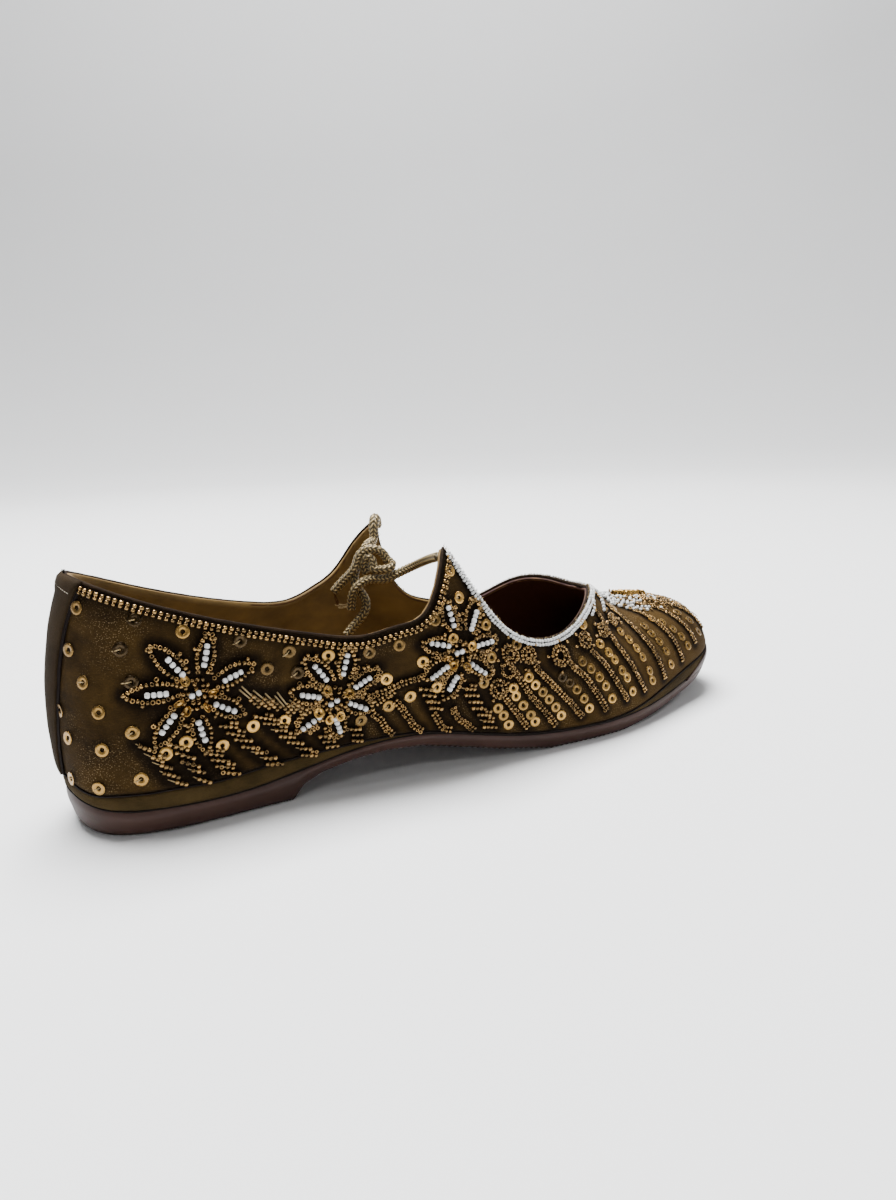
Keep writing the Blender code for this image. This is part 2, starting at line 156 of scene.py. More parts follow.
# ---------------------------------------------------------------- curves
def natural_spline(xs, ys):
    """A smooth curve through the points, with no bend at its two ends."""
    xs, ys = np.array(xs, float), np.array(ys, float)
    steps = np.diff(xs)
    count = len(xs)
    matrix = np.eye(count)
    right = np.zeros(ys.shape)
    for i in range(1, count - 1):
        matrix[i, i - 1 : i + 2] = steps[i - 1], 2 * (steps[i - 1] + steps[i]), steps[i]
        right[i] = 6 * ((ys[i + 1] - ys[i]) / steps[i] - (ys[i] - ys[i - 1]) / steps[i - 1])
    bends = np.linalg.solve(matrix, right)

    def value(x):
        i = min(max(int(np.searchsorted(xs, x)) - 1, 0), count - 2)
        b = (x - xs[i]) / steps[i]
        a = 1 - b
        curve = (a**3 - a) * bends[i] + (b**3 - b) * bends[i + 1]
        return a * ys[i] + b * ys[i + 1] + curve * steps[i] ** 2 / 6

    return value


def ring_spline(knots, rows, period):
    """The same through rows of several values, closed on itself after one period."""
    count = len(knots)
    steps = np.diff(np.append(knots, knots[0] + period))
    matrix = np.zeros((count, count))
    right = np.zeros(rows.shape)
    for i in range(count):
        before, after = (i - 1) % count, (i + 1) % count
        matrix[i, before] += steps[before]
        matrix[i, i] += 2 * (steps[before] + steps[i])
        matrix[i, after] += steps[i]
        slope_on = (rows[after] - rows[i]) / steps[i]
        slope_off = (rows[i] - rows[before]) / steps[before]
        right[i] = 6 * (slope_on - slope_off)
    bends = np.linalg.solve(matrix, right)

    def value(s):
        s = (s - knots[0]) % period + knots[0]
        i = min(max(int(np.searchsorted(knots, s, side="right")) - 1, 0), count - 1)
        after = (i + 1) % count
        b = (s - knots[i]) / steps[i]
        a = 1 - b
        curve = (a**3 - a) * bends[i] + (b**3 - b) * bends[after]
        return a * rows[i] + b * rows[after] + curve * steps[i] ** 2 / 6

    return value


def bezier(ends, t):
    """Points on a cubic with the four control points in ends, at each share t."""
    t = np.atleast_1d(t)[:, None]
    a, b, c, d = ends
    return (1 - t) ** 3 * a + 3 * (1 - t) ** 2 * t * b + 3 * (1 - t) * t**2 * c + t**3 * d


def solve(function, low, high):
    """Where a function that changes sign once between low and high is zero."""
    start = function(low) > 0
    for _ in range(40):
        middle = (low + high) / 2
        if (function(middle) > 0) == start:
            low = middle
        else:
            high = middle
    return (low + high) / 2


def route(points, count):
    """count points, evenly spread, on a smooth curve through the given points."""
    points = np.array(points, float)
    strides = np.linalg.norm(np.diff(points, axis=0), axis=1)
    places = np.concatenate([[0.0], np.cumsum(strides)])
    if len(points) > 2:
        curve = natural_spline(places, points)
    else:
        curve = lambda s: points[0] + (points[1] - points[0]) * s / places[-1]
    fine = np.array([curve(s) for s in np.linspace(0, places[-1], max(count * 3, 40))])
    run = np.concatenate([[0.0], np.cumsum(np.linalg.norm(np.diff(fine, axis=0), axis=1))])
    even = np.linspace(0, run[-1], count)
    return np.stack([np.interp(even, run, fine[:, k]) for k in range(fine.shape[1])], axis=1)


# ---------------------------------------------------------------- the last
def side_outline():
    """(curve, length): LAST as a smooth ring round both sides, by distance from the heel."""
    units = np.array(
        [LENGTH, BALL_WIDTH / 2, HEEL_HEIGHT, LENGTH, INSTEP_HEIGHT, INSTEP_HEIGHT, INSTEP_HEIGHT]
    )
    rows = np.array([row[1:] for row in LAST]) * units
    strides = np.linalg.norm(np.diff(rows[:, :2], axis=0), axis=1)
    places = np.concatenate([[0.0], np.cumsum(strides)])
    other_side = rows[-2:0:-1] * np.array([1, -1, 1, 1, 1, 1, 1])
    total = places[-1]
    knots = np.concatenate([places, 2 * total - places[-2:0:-1]])
    return ring_spline(knots, np.concatenate([rows, other_side]), 2 * total), total


OUTLINE, HALF_OUTLINE = side_outline()
AROUND_ALL = HALF_OUTLINE / MM
ridge_height = natural_spline(
    [row[0] * LENGTH for row in RIDGE], [row[1] * INSTEP_HEIGHT for row in RIDGE]
)


def rib(place):
    """(four control points, outward direction) of the rib that far round the left side."""
    x, y, z, crown_x, lean, rise, reach = OUTLINE(place)
    ahead, behind = OUTLINE(place + 1e-5), OUTLINE(place - 1e-5)
    along = (ahead - behind)[:2] / np.linalg.norm((ahead - behind)[:2])
    out = np.array([-along[1], along[0], 0.0])
    foot = np.array([x, y, z])
    crown = np.array([crown_x, 0.0, ridge_height(crown_x)])
    slope = (ridge_height(crown_x + 1e-4) - ridge_height(crown_x - 1e-4)) / 2e-4
    level = (foot - crown) * np.array([1, 1, 0])
    level /= np.linalg.norm(level)
    level[2] = slope * level[0]
    shoulder = foot + out * lean + np.array([0, 0, rise])
    return np.array([foot, shoulder, crown + level * reach, crown]), out


class TopLine:
    """Where each rib of one side stops: at the collar, round the throat, or at the ridge."""

    def __init__(self, side):
        column = 1 if side > 0 else 2
        along = [row[0] * LENGTH for row in COLLAR]
        self.height = natural_spline(along, [row[column] * INSTEP_HEIGHT for row in COLLAR])
        low, high = 0.30 * HALF_OUTLINE, 0.62 * HALF_OUTLINE
        self.peak = solve(lambda p: self.at_height(p, True)[0] - WING_PEAK, low, high)
        low, high = 0.60 * HALF_OUTLINE, 0.95 * HALF_OUTLINE
        self.end = solve(lambda p: rib(p)[0][3][0] - THROAT_END, low, high)
        shares = [0.0] + [row[0] for row in THROAT]
        cuts = [self.at_height(self.peak, True)[1]] + [row[column] for row in THROAT]
        self.throat = natural_spline(shares, cuts)

    def at_height(self, place, at_peak=False):
        """(x, share) where the rib meets the collar's height, there or at the wing's peak."""
        ends = rib(place)[0]

        def short_of(t):
            x, _, z = bezier(ends, t)[0]
            return self.height(WING_PEAK if at_peak else min(max(x, 0.0), WING_PEAK)) - z

        share = solve(short_of, 0.0, 0.95)
        return bezier(ends, share)[0][0], share

    def cut(self, place):
        if place <= self.peak:
            return self.at_height(place)[1]
        if place >= self.end - 1e-9:
            return 1.0
        share = (place - self.peak) / (self.end - self.peak)
        rounding = (1 - share**THROAT_ROUNDING) ** (1 / THROAT_ROUNDING)
        return 1 - (1 - float(self.throat(share))) * rounding


class Chart:
    """The last's skin: place(side, around, climb) gives a point and the ways on it."""

    STEP = 0.5  # millimetres between ribs
    ROWS = 160  # steps up each rib
    NEAR = 0.6  # millimetres to the neighbours that give the ways on the skin
    BONE = (0.095, 0.022)  # half length and height of the line inside that outward leads from

    def __init__(self):
        count = int(AROUND_ALL / self.STEP) + 1
        self.arounds = np.linspace(0, AROUND_ALL, count)
        shares = np.linspace(0, 1, self.ROWS + 1)
        self.points = np.zeros((count, self.ROWS + 1, 3))
        self.totals = np.zeros(count)
        self.climbs = np.zeros((count, self.ROWS + 1))
        for i, around in enumerate(self.arounds):
            along_rib = bezier(rib(around * MM)[0], shares)
            climbs = np.concatenate(
                [[0.0], np.cumsum(np.linalg.norm(np.diff(along_rib, axis=0), axis=1))]
            )
            even = np.linspace(0, climbs[-1], self.ROWS + 1)
            for k in range(3):
                self.points[i, :, k] = np.interp(even, climbs, along_rib[:, k])
            self.totals[i] = climbs[-1] / MM
            self.climbs[i] = climbs / MM
        self.points[:, :, 0] -= MIDDLE

    def total(self, around):
        """The whole climb of the rib at around, from the sole's edge to the ridge."""
        return float(np.interp(around, self.arounds, self.totals))

    def climb_of(self, around, share):
        """The climb at a share of the rib's own curve."""
        i = min(max(around / self.arounds[1], 0.0), len(self.arounds) - 1.001)
        low = int(i)
        row = self.climbs[low] * (low + 1 - i) + self.climbs[low + 1] * (i - low)
        return float(np.interp(share * self.ROWS, np.arange(self.ROWS + 1), row))

    def spot(self, side, around, climb):
        """The point alone, going over the heel, the toe or the ridge to the other side."""
        if around < 0:
            side, around = -side, -around
        if around > AROUND_ALL:
            side, around = -side, 2 * AROUND_ALL - around
        total = self.total(around)
        if climb > total:
            side, climb = -side, 2 * total - climb
        i = min(max(around / self.arounds[1], 0.0), len(self.arounds) - 1.001)
        k = min(max(climb / total * self.ROWS, 0.0), self.ROWS - 0.001)
        a, b = int(i), int(k)
        u, v = i - a, k - b
        point = (
            self.points[a, b] * (1 - u) * (1 - v)
            + self.points[a + 1, b] * u * (1 - v)
            + self.points[a, b + 1] * (1 - u) * v
            + self.points[a + 1, b + 1] * u * v
        )
        return Vector((point[0], point[1] * side, point[2]))

    def place(self, side, around, climb):
        """(point, way round to the toe, way up, outward) on the skin."""
        point = self.spot(side, around, climb)
        near = self.NEAR
        onward = self.spot(side, around + near, climb) - self.spot(side, around - near, climb)
        onward.normalize()
        rising = self.spot(side, around, climb + near) - self.spot(side, around, climb - near)
        outward = onward.cross(rising).normalized()
        half, height = self.BONE
        bone = Vector((min(max(point.x, -half), half), 0, height))
        if outward.dot(point - bone) < 0:
            outward.negate()
        upward = outward.cross(onward).normalized()
        if upward.dot(rising) < 0:
            upward.negate()
        return point, onward, upward, outward


LINES = {side: TopLine(side) for side in SIDES}
CHART = Chart()
# How much places crowd towards the throat's end, where the top line turns sharply.
THROAT_CROWDING = 1.7


def throat_arounds(side, shares):
    """Places from the wing's peak to the throat's end, crowded towards the end."""
    peak, end = LINES[side].peak / MM, LINES[side].end / MM
    return peak + (end - peak) * (1 - (1 - shares) ** THROAT_CROWDING)


def top_climb(side, around):
    """The climb of the top line, or of the ridge past the throat's end."""
    return min(CHART.climb_of(around, LINES[side].cut(around * MM)), CHART.total(around))


def edge_row(side, distance_of, arounds):
    """Places (point, outward) below the top line, square to it, at distance_of(around) mm."""
    end = LINES[side].end / MM
    spots = []
    for around in arounds:
        one, two = (
            CHART.spot(side, a, top_climb(side, a) - 0.02) for a in (around - 0.35, around + 0.35)
        )
        point, onward, upward, outward = CHART.place(side, around, top_climb(side, around) - 0.02)
        into = outward.cross(two - one).normalized()
        ahead = min(max(1 - (end - around) / 4.0, 0.0), 1.0)
        if into.dot(onward * ahead - upward * (1 - ahead)) < 0:
            into.negate()
        spots.append((point + into * distance_of(around) * MM, outward))
    return spots


# ---------------------------------------------------------------- making pieces
def lay_grid(bm, columns, rows, place, uv_of=None):
    """A grid of quads, each point moved to place(a, b) for its shares a and b of the grid."""
    made = bmesh.ops.create_grid(bm, x_segments=columns, y_segments=rows, size=1.0)
    shares = {v: ((v.co.x + 1) / 2, (v.co.y + 1) / 2) for v in made["verts"]}
    if uv_of:
        layer = bm.loops.layers.uv.verify()
        for face in {face for v in made["verts"] for face in v.link_faces}:
            for loop in face.loops:
                loop[layer].uv = uv_of(*shares[loop.vert])
    for v, (a, b) in shares.items():
        v.co = place(a, b)
    return made["verts"]


def add_piece(name, mesh):
    """Puts the mesh in the scene as a piece that rides on the shoe."""
    piece = bpy.data.objects.new(name, mesh)
    bpy.context.scene.collection.objects.link(piece)
    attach(piece, "root")
    return piece


def finish_piece(name, bm, looks, replaces=(), sharp=None):
    """Turns the bmesh into a piece with its materials, in place of the named nodes."""
    mesh = bpy.data.meshes.new(name)
    bm.to_mesh(mesh)
    bm.free()
    for look in looks:
        mesh.materials.append(look)
    mesh.shade_smooth()
    if sharp:
        mesh.set_sharp_from_angle(angle=math.radians(sharp))
    piece = add_piece(name, mesh)
    if replaces:
        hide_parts(*replaces)
    return piece


def weld(bm, distance=2e-6):
    """Merges points that lie on one another, as along a grid's seam."""
    bmesh.ops.remove_doubles(bm, verts=bm.verts, dist=distance)


def tube(bm, points, radius, sides, relief=None):
    """A round cord along the points, with ends filled and its UV in millimetres along it."""
    points = [Vector(p) for p in points]
    count = len(points)
    tangents = []
    for i in range(count):
        tangents.append((points[min(i + 1, count - 1)] - points[max(i - 1, 0)]).normalized())
    across = tangents[0].orthogonal().normalized()
    frames = []
    for tangent in tangents:
        across = (across - tangent * across.dot(tangent)).normalized()
        frames.append((across.copy(), tangent.cross(across)))
    run = [0.0]
    for one, other in zip(points, points[1:]):
        run.append(run[-1] + (other - one).length)
    radii = radius if callable(radius) else (lambda _: radius)
    levels = []
    layer = relief and (bm.verts.layers.float.get("plait") or bm.verts.layers.float.new("plait"))

    def place(a, b):
        i = round(a * (count - 1))
        turn = 2 * math.pi * b
        size = radii(i / (count - 1))
        if relief:
            level = relief(run[i] / MM, turn)
            levels.append(level)
            size += (level - 1.0) * PLAIT_DEPTH
        return points[i] + (frames[i][0] * math.cos(turn) + frames[i][1] * math.sin(turn)) * size

    verts = lay_grid(
        bm, count - 1, sides, place, lambda a, b: (run[round(a * (count - 1))] / MM, b)
    )
    if relief:
        for v, level in zip(verts, levels):
            v[layer] = level
    bmesh.ops.remove_doubles(bm, verts=verts, dist=1e-7)
    verts = [v for v in verts if v.is_valid]
    edges = [e for e in {e for v in verts for e in v.link_edges} if e.is_boundary]
    bmesh.ops.holes_fill(bm, edges=edges, sides=sides + 2)
    faces = list({face for v in verts for face in v.link_faces})
    bmesh.ops.recalc_face_normals(bm, faces=faces)
    return verts


def face_out(bm, outward):
    """Turns an open sheet so that its first face looks the given way."""
    bm.faces.ensure_lookup_table()
    bm.normal_update()
    if bm.faces[0].normal.dot(outward) < 0:
        bmesh.ops.reverse_faces(bm, faces=bm.faces)


def thicken(piece, thickness, offset=-1.0, rim=0, inner=0):
    """Gives a sheet its thickness, inwards unless offset says outwards."""
    solidify = piece.modifiers.new("Wall", "SOLIDIFY")
    solidify.thickness = thickness
    solidify.offset = offset
    solidify.use_even_offset = True
    solidify.material_offset = inner
    solidify.material_offset_rim = rim


# ---------------------------------------------------------------- small repeated shapes
def spin_profile(bm, profile, steps, closed=True):
    """Spins a profile of (radius, height) places a full turn round Z."""
    ring = [bm.verts.new((radius, 0, height)) for radius, height in profile]
    pairs = zip(ring, ring[1:] + ring[:1] if closed else ring[1:])
    edges = [bm.edges.new(pair) for pair in pairs]
    bmesh.ops.spin(
        bm, geom=ring + edges, cent=(0, 0, 0), axis=(0, 0, 1), angle=2 * math.pi, steps=steps, use_merge=True
    )


# Kinds of beads. Radius, length and hole are shares of the size; steps go round the bead's
# own way, sides round its section.
BEADS = {
    # kind           size          radius length hole steps sides
    "collar gold": ("gold_bead", 0.47, 1.00, 0.15, 8, 5),
    "flower gold": ("gold_bead", 0.56, 0.78, 0.22, 8, 5),
    "row gold": ("gold_bead", 0.50, 0.68, 0.22, 7, 5),
    "fine gold": ("gold_bead", 0.43, 0.60, 0.19, 7, 5),
    "stitch gold": ("gold_bead", 0.58, 0.98, 0.16, 7, 5),
    "petal white": ("white_bead", 0.50, 0.80, 0.10, 10, 6),
    "throat white": ("edge_bead", 0.50, 0.85, 0.10, 8, 5),
    "ridge white": ("edge_bead", 0.56, 0.85, 0.13, 8, 5),
}


def bead_shape(sizes, kind):
    """A round bead along Z with a hole through it."""
    size_name, *shares, steps, sides = BEADS[kind]
    outer, length, hole = (getattr(sizes, size_name) * share for share in shares)
    middle, half_width, half_length = (outer + hole) / 2, (outer - hole) / 2, length / 2
    turns = [2 * math.pi * (k + 0.5) / sides for k in range(sides)]
    bm = bmesh.new()
    spin_profile(
        bm, [(middle + half_width * math.cos(t), half_length * math.sin(t)) for t in turns], steps
    )
    bmesh.ops.recalc_face_normals(bm, faces=bm.faces)
    return shape_arrays(bm)


# Ring sequins: radius and hole as shares of the size, and the cup in millimetres.
PLAIN_SEQUIN = (0.50, 0.150, 0.16)
CURLED_SEQUIN = (0.40, 0.10, 0.6)
SEQUIN_THICKNESS = 0.00012
SEQUIN_STEPS = 14


def sequin_shape(size, radius_share, hole_share, cup):
    """A flat ring, a little cupped, with its hole."""
    radius, hole, cup, thickness = size * radius_share, size * hole_share, cup * MM, SEQUIN_THICKNESS
    profile = [(hole, 0.0), (hole * 1.25, thickness), (radius * 0.6, thickness + cup * 0.3)]
    profile += [(radius * 0.96, thickness + cup), (radius, cup), (radius * 0.6, cup * 0.2)]
    bm = bmesh.new()
    spin_profile(bm, profile, SEQUIN_STEPS)
    bmesh.ops.recalc_face_normals(bm, faces=bm.faces)
    return shape_arrays(bm)


def shape_arrays(bm):
    """The shape as (points, faces), for many copies."""
    bm.verts.index_update()
    points = np.array([v.co for v in bm.verts])
    faces = [[v.index for v in face.verts] for face in bm.faces]
    bm.free()
    return points, faces


def many_copies(name, copies, look):
    """One piece from many (shape, matrix, tone), the tone being each copy's own shade: a random tone on
    beads, and on sequins also painted reflection.
    """
    points, faces, tones_and_glints, first = [], [], [], 0
    for (shape_points, shape_faces), matrix, tone_and_glint in copies:
        turn = np.array(matrix)
        points.append(shape_points @ turn[:3, :3].T + turn[:3, 3])
        faces += [[first + k for k in face] for face in shape_faces]
        tones_and_glints += [tone_and_glint] * len(shape_points)
        first += len(shape_points)
    mesh = bpy.data.meshes.new(name)
    mesh.from_pydata(np.concatenate(points).tolist(), [], faces)
    layer = mesh.attributes.new("tone_and_glint", "FLOAT", "POINT")
    layer.data.foreach_set("value", tones_and_glints)
    mesh.materials.append(look)
    mesh.shade_smooth()
    add_piece(name, mesh)


def standing(place, along, up, lift=0.0):
    """A matrix at the place, with Z the way along and Y the way up, as far as it can be."""
    z = along.normalized()
    x = up.cross(z)
    x = x.normalized() if x.length > 1e-4 else z.orthogonal().normalized()
    y = z.cross(x)
    return Matrix.Translation(place + up * lift) @ Matrix((x, y, z)).transposed().to_4x4()


def skin_spots(side, path, count=60, clear=None):
    """Places (point, outward) close together along a smooth chart path, kept clear of the top edge."""
    return [
        CHART.place(side, around, climb)[::3]
        for around, climb in route(path, count)
        if clear is None or climb < top_climb(side, around) - clear
    ]


def spread(spots, count):
    """count of the places, moved to lie evenly along their own line."""
    points = np.array([spot[0] for spot in spots])
    run = np.concatenate([[0.0], np.cumsum(np.linalg.norm(np.diff(points, axis=0), axis=1))])
    picked = []
    for far in np.linspace(0, run[-1], count):
        i = min(max(int(np.searchsorted(run, far)), 1), len(spots) - 1)
        share = (far - run[i - 1]) / max(run[i] - run[i - 1], 1e-9)
        picked.append((Vector(points[i - 1] * (1 - share) + points[i] * share), spots[i][1]))
    return picked, run[-1]


def beads_along(
    shape, spots, pitch, lift, rng, offset=0.0, wander=0.12, tilt=0.35, size=0.1, facing=0.0
):
    """Beads threaded along the places, each a little askew; facing is the share on end."""
    _, length = spread(spots, 2)
    count = max(int(round(length / pitch)), 1) + 1
    picked, _ = spread(spots, count)
    copies = []
    for i, (point, outward) in enumerate(picked):
        before, after = picked[max(i - 1, 0)][0], picked[min(i + 1, count - 1)][0]
        along = (after - before).normalized()
        beside = outward.cross(along).normalized()
        point = point + beside * (offset + rng.uniform(-1, 1) * wander * MM)
        point = point + along * rng.uniform(-1, 1) * wander * MM * 0.5
        if rng.random() < facing:
            along = along * rng.uniform(-0.5, 0.5) + beside * rng.uniform(-0.5, 0.5) + outward
        along = along + beside * rng.uniform(-tilt, tilt) + outward * rng.uniform(-tilt, tilt)
        matrix = standing(point, along.normalized(), outward, lift + rng.uniform(-0.1, 0.15) * MM)
        scale = Matrix.Scale(rng.uniform(1 - size, 1 + size), 4)
        copies.append((shape, matrix @ scale, rng.random()))
    return copies


def string_of_beads(shape, side, path, pitch, lift, rng, **more):
    """Beads threaded along a chart path, those that would pass the top edge left out."""
    spots = skin_spots(side, path, clear=0.9)
    return beads_along(shape, spots, pitch, lift, rng, **more) if len(spots) > 1 else []


def one_bead(shape, side, around, climb, lift, rng, tilt=1.0):
    """A single bead, turned any way round, leaning up to tilt."""
    point, onward, upward, outward = CHART.place(side, around, climb)
    turn = rng.uniform(0, 2 * math.pi)
    way = onward * math.cos(turn) + upward * math.sin(turn) + outward * rng.uniform(-tilt, tilt)
    return (shape, standing(point, way, outward, lift), rng.random())


# ---------------------------------------------------------------- the object's sizes and colours
def size_property(name, description, default):
    """A length that can be set in the scene."""
    return bpy.props.FloatProperty(name=name, description=description, default=default, unit="LENGTH")


class ShoeSizes(bpy.types.PropertyGroup):
    """Sizes that a user may change before the pieces are made."""

    gold_bead: size_property("Gold bead", "Diameter of the gold seed beads", 0.00135)
    white_bead: size_property("White bead", "Diameter of the white petal beads", 0.0018)
    edge_bead: size_property("Edge bead", "Diameter of the white throat beads", 0.0012)
    sequin: size_property("Sequin", "Diameter of the ring sequins", 0.0040)
    cord: size_property("Cord", "Diameter of the tie cord", 0.0033)
    cloth: size_property("Cloth", "Thickness of the outer cloth", 0.00115)
    lining: size_property("Lining", "Thickness of the lining", 0.00095)


def colour_property(name, description, default):
    return bpy.props.FloatVectorProperty(
        name=name, description=description, size=3, subtype="COLOR", min=0.0, max=1.0, default=default
    )


class ShoeColours(bpy.types.PropertyGroup):
    """Colours that a user may change before the pieces are made."""

    cloth_dark: colour_property("Cloth, dark", "Nap that lies away", (0.0060, 0.0029, 0.0011))
    cloth_light: colour_property("Cloth, light", "Nap that catches the light", (0.047, 0.0260, 0.0064))
    band: colour_property("Band", "The band over the sole", (0.056, 0.036, 0.0125))
    stay: colour_property("Stay", "The strip over the heel seam", (0.030, 0.019, 0.009))
    lining: colour_property("Lining", "The quarter lining", (0.190, 0.112, 0.030))
    # The vamp lining: dark red leather, made darker still as painted shade deep inside the toe.
    vamp_lining_and_shade: colour_property("Vamp lining", "The lining under the vamp", (0.030, 0.006, 0.004))
    gold: colour_property("Gold", "Gold beads", (0.228, 0.137, 0.047))
    sequin: colour_property("Sequin", "Gold sequins", (0.325, 0.186, 0.046))
    white: colour_property("White", "White beads", (0.66, 0.66, 0.65))
    cord: colour_property("Cord", "The tie's braided thread", (0.40, 0.295, 0.135))
    rubber: colour_property("Rubber", "The moulded sole", (0.046, 0.0215, 0.0155))
    floor: colour_property("Floor", "The studio floor", (0.84, 0.845, 0.85))


# ---------------------------------------------------------------- materials
def scaled(colour, share):
    """The colour made darker or lighter by the share, never past white."""
    return tuple(min(share * c, 1.0) for c in colour)


class Looks:
    """Makers of node materials."""

    def begin(self, name):
        """(material, tree, shader) of a new material."""
        made = bpy.data.materials.new(name)
        made.use_nodes = True
        return made, made.node_tree, made.node_tree.nodes["Principled BSDF"]

    def node(self, tree, kind, inputs=(), **settings):
        made = tree.nodes.new(kind)
        for key, value in settings.items():
            setattr(made, key, value)
        for key, value in dict(inputs).items():
            if isinstance(value, bpy.types.NodeSocket):
                tree.links.new(value, made.inputs[key])
            else:
                made.inputs[key].default_value = value
        return made

    def coords(self, tree, space, scale=(1, 1, 1), turn=0.0):
        source = self.node(tree, "ShaderNodeTexCoord").outputs[space]
        inputs = {"Vector": source, "Scale": scale, "Rotation": (0, 0, turn)}
        return self.node(tree, "ShaderNodeMapping", inputs).outputs["Vector"]

    def noise(self, tree, vector, scale, detail=3.0, rough=0.55):
        inputs = {"Vector": vector, "Scale": scale, "Detail": detail, "Roughness": rough}
        return self.node(tree, "ShaderNodeTexNoise", inputs).outputs["Fac"]

    def spread(self, tree, value, low, high, from_low=0.0, from_high=1.0):
        """The value stretched from one range to another."""
        inputs = {"Value": value, "From Min": from_low, "From Max": from_high, "To Min": low, "To Max": high}
        return self.node(tree, "ShaderNodeMapRange", inputs).outputs["Result"]

    def ramp(self, tree, value, *stops):
        made = self.node(tree, "ShaderNodeValToRGB", {"Fac": value})
        for _ in stops[2:]:
            made.color_ramp.elements.new(1.0)
        for element, (place, colour) in zip(made.color_ramp.elements, stops):
            element.position = place
            element.color = (*colour, 1.0)
        return made.outputs["Color"]

    def mix(self, tree, share, one, other, blend="MIX"):
        made = self.node(tree, "ShaderNodeMix", data_type="RGBA", blend_type=blend)
        for key, value in (("Factor", share), ("A", one), ("B", other)):
            socket = [s for s in made.inputs if s.name == key and s.enabled][0]
            if isinstance(value, bpy.types.NodeSocket):
                tree.links.new(value, socket)
            elif isinstance(value, (int, float)):
                socket.default_value = value
            else:
                socket.default_value = (*value, 1.0)
        return [s for s in made.outputs if s.enabled][0]

    def sums(self, tree, operation, *values):
        made = self.node(tree, "ShaderNodeMath", operation=operation)
        for socket, value in zip(made.inputs, values):
            if isinstance(value, bpy.types.NodeSocket):
                tree.links.new(value, socket)
            else:
                socket.default_value = value
        return made.outputs[0]

    def bump(self, tree, shader, height, strength, distance):
        made = self.node(
            tree, "ShaderNodeBump", {"Height": height, "Strength": strength, "Distance": distance}
        )
        tree.links.new(made.outputs["Normal"], shader.inputs["Normal"])

    def two_tone(self, name, scale, low, high, roughness, strength, distance):
        """A plain grained material: two shades over its noise, which also makes the bump."""
        made, tree, shader = self.begin(name)
        grain = self.noise(tree, self.coords(tree, "Object"), scale, 3.0)
        tint = self.ramp(tree, grain, (0.3, low), (0.7, high))
        tree.links.new(tint, shader.inputs["Base Color"])
        shader.inputs["Roughness"].default_value = roughness
        self.bump(tree, shader, grain, strength, distance)
        return made, shader

    def cloth(self, name, dark, light, shaded=True, speckled=True):
        """Napped cloth: streaks of lying nap, a fine grain, painted light towards the toe, and shade near
        the beadwork.
        """
        made, tree, shader = self.begin(name)
        streak = self.noise(tree, self.coords(tree, "UV", (0.30, 1.5, 1), 0.5), 2.2, 4.0, 0.7)
        patch = self.noise(tree, self.coords(tree, "UV", (0.055, 0.075, 1)), 1.0, 3.0, 0.6)
        grain = self.noise(tree, self.coords(tree, "UV", (1.2, 3.0, 1), 0.5), 3.0, 2.0, 0.5)
        nap = self.sums(tree, "MULTIPLY_ADD", streak, 0.45, patch)
        lit = self.ramp(tree, nap, (0.48, dark), (0.92, light))
        if shaded:
            # Painted light: from 150 mm round to the toe the cloth is mixed towards a lighter colour,
            # standing in for the light the vamp catches there.
            uv = self.node(tree, "ShaderNodeSeparateXYZ", {"Vector": self.coords(tree, "UV")})
            around = self.sums(tree, "ABSOLUTE", uv.outputs["X"])
            painted_toe_light = self.spread(tree, around, 0.0, 0.55, 150.0, 215.0)
            lit = self.mix(tree, painted_toe_light, lit, scaled(light, 1.65))
        weave = self.ramp(tree, grain, (0.42, (0.72, 0.72, 0.72)), (0.66, (1.25, 1.25, 1.25)))
        colour = self.mix(tree, 1.0, lit, weave, "MULTIPLY")
        if speckled:
            dots = self.noise(tree, self.coords(tree, "UV"), 2.6, 1.0, 0.4)
            worn = self.noise(tree, self.coords(tree, "UV", (0.03, 0.03, 1)), 1.6)
            where = self.spread(tree, worn, 0.0, 1.0, 0.46, 0.62)
            share = self.sums(tree, "MULTIPLY", self.spread(tree, dots, 0.0, 0.75, 0.60, 0.70), where)
            colour = self.mix(tree, share, colour, (0.20, 0.14, 0.07))
        if shaded:
            shade = self.node(tree, "ShaderNodeAttribute", attribute_name="shade").outputs["Fac"]
            colour = self.mix(tree, shade, scaled(dark, 0.55), colour)
        tree.links.new(colour, shader.inputs["Base Color"])
        shader.inputs["Roughness"].default_value = 0.85
        shader.inputs["Sheen Weight"].default_value = 0.01
        shader.inputs["Sheen Roughness"].default_value = 0.4
        shader.inputs["Specular IOR Level"].default_value = 0.06
        height = self.sums(tree, "ADD", grain, streak)
        self.bump(tree, shader, height, 0.5, 0.00025)
        return made

    def leather(self, name, colour, other=None, from_around=0.0, to_around=1.0):
        """Smooth lining with a little grain, changing to another colour round the foot."""
        made, tree, shader = self.begin(name)
        broad = self.noise(tree, self.coords(tree, "UV", (0.06, 0.10, 1)), 1.0, 4.0, 0.6)
        fine = self.noise(tree, self.coords(tree, "UV"), 4.0, 3.0, 0.6)
        tint = self.ramp(tree, broad, (0.32, scaled(colour, 0.6)), (0.68, colour))
        if other:
            uv = self.node(tree, "ShaderNodeSeparateXYZ", {"Vector": self.coords(tree, "UV")})
            step = self.spread(tree, uv.outputs["X"], 0.0, 1.0, from_around, to_around)
            tint = self.mix(tree, step, tint, other)
        tree.links.new(tint, shader.inputs["Base Color"])
        tree.links.new(self.spread(tree, fine, 0.55, 0.80), shader.inputs["Roughness"])
        shader.inputs["Specular IOR Level"].default_value = 0.25
        self.bump(tree, shader, fine, 0.25, 0.0002)
        return made

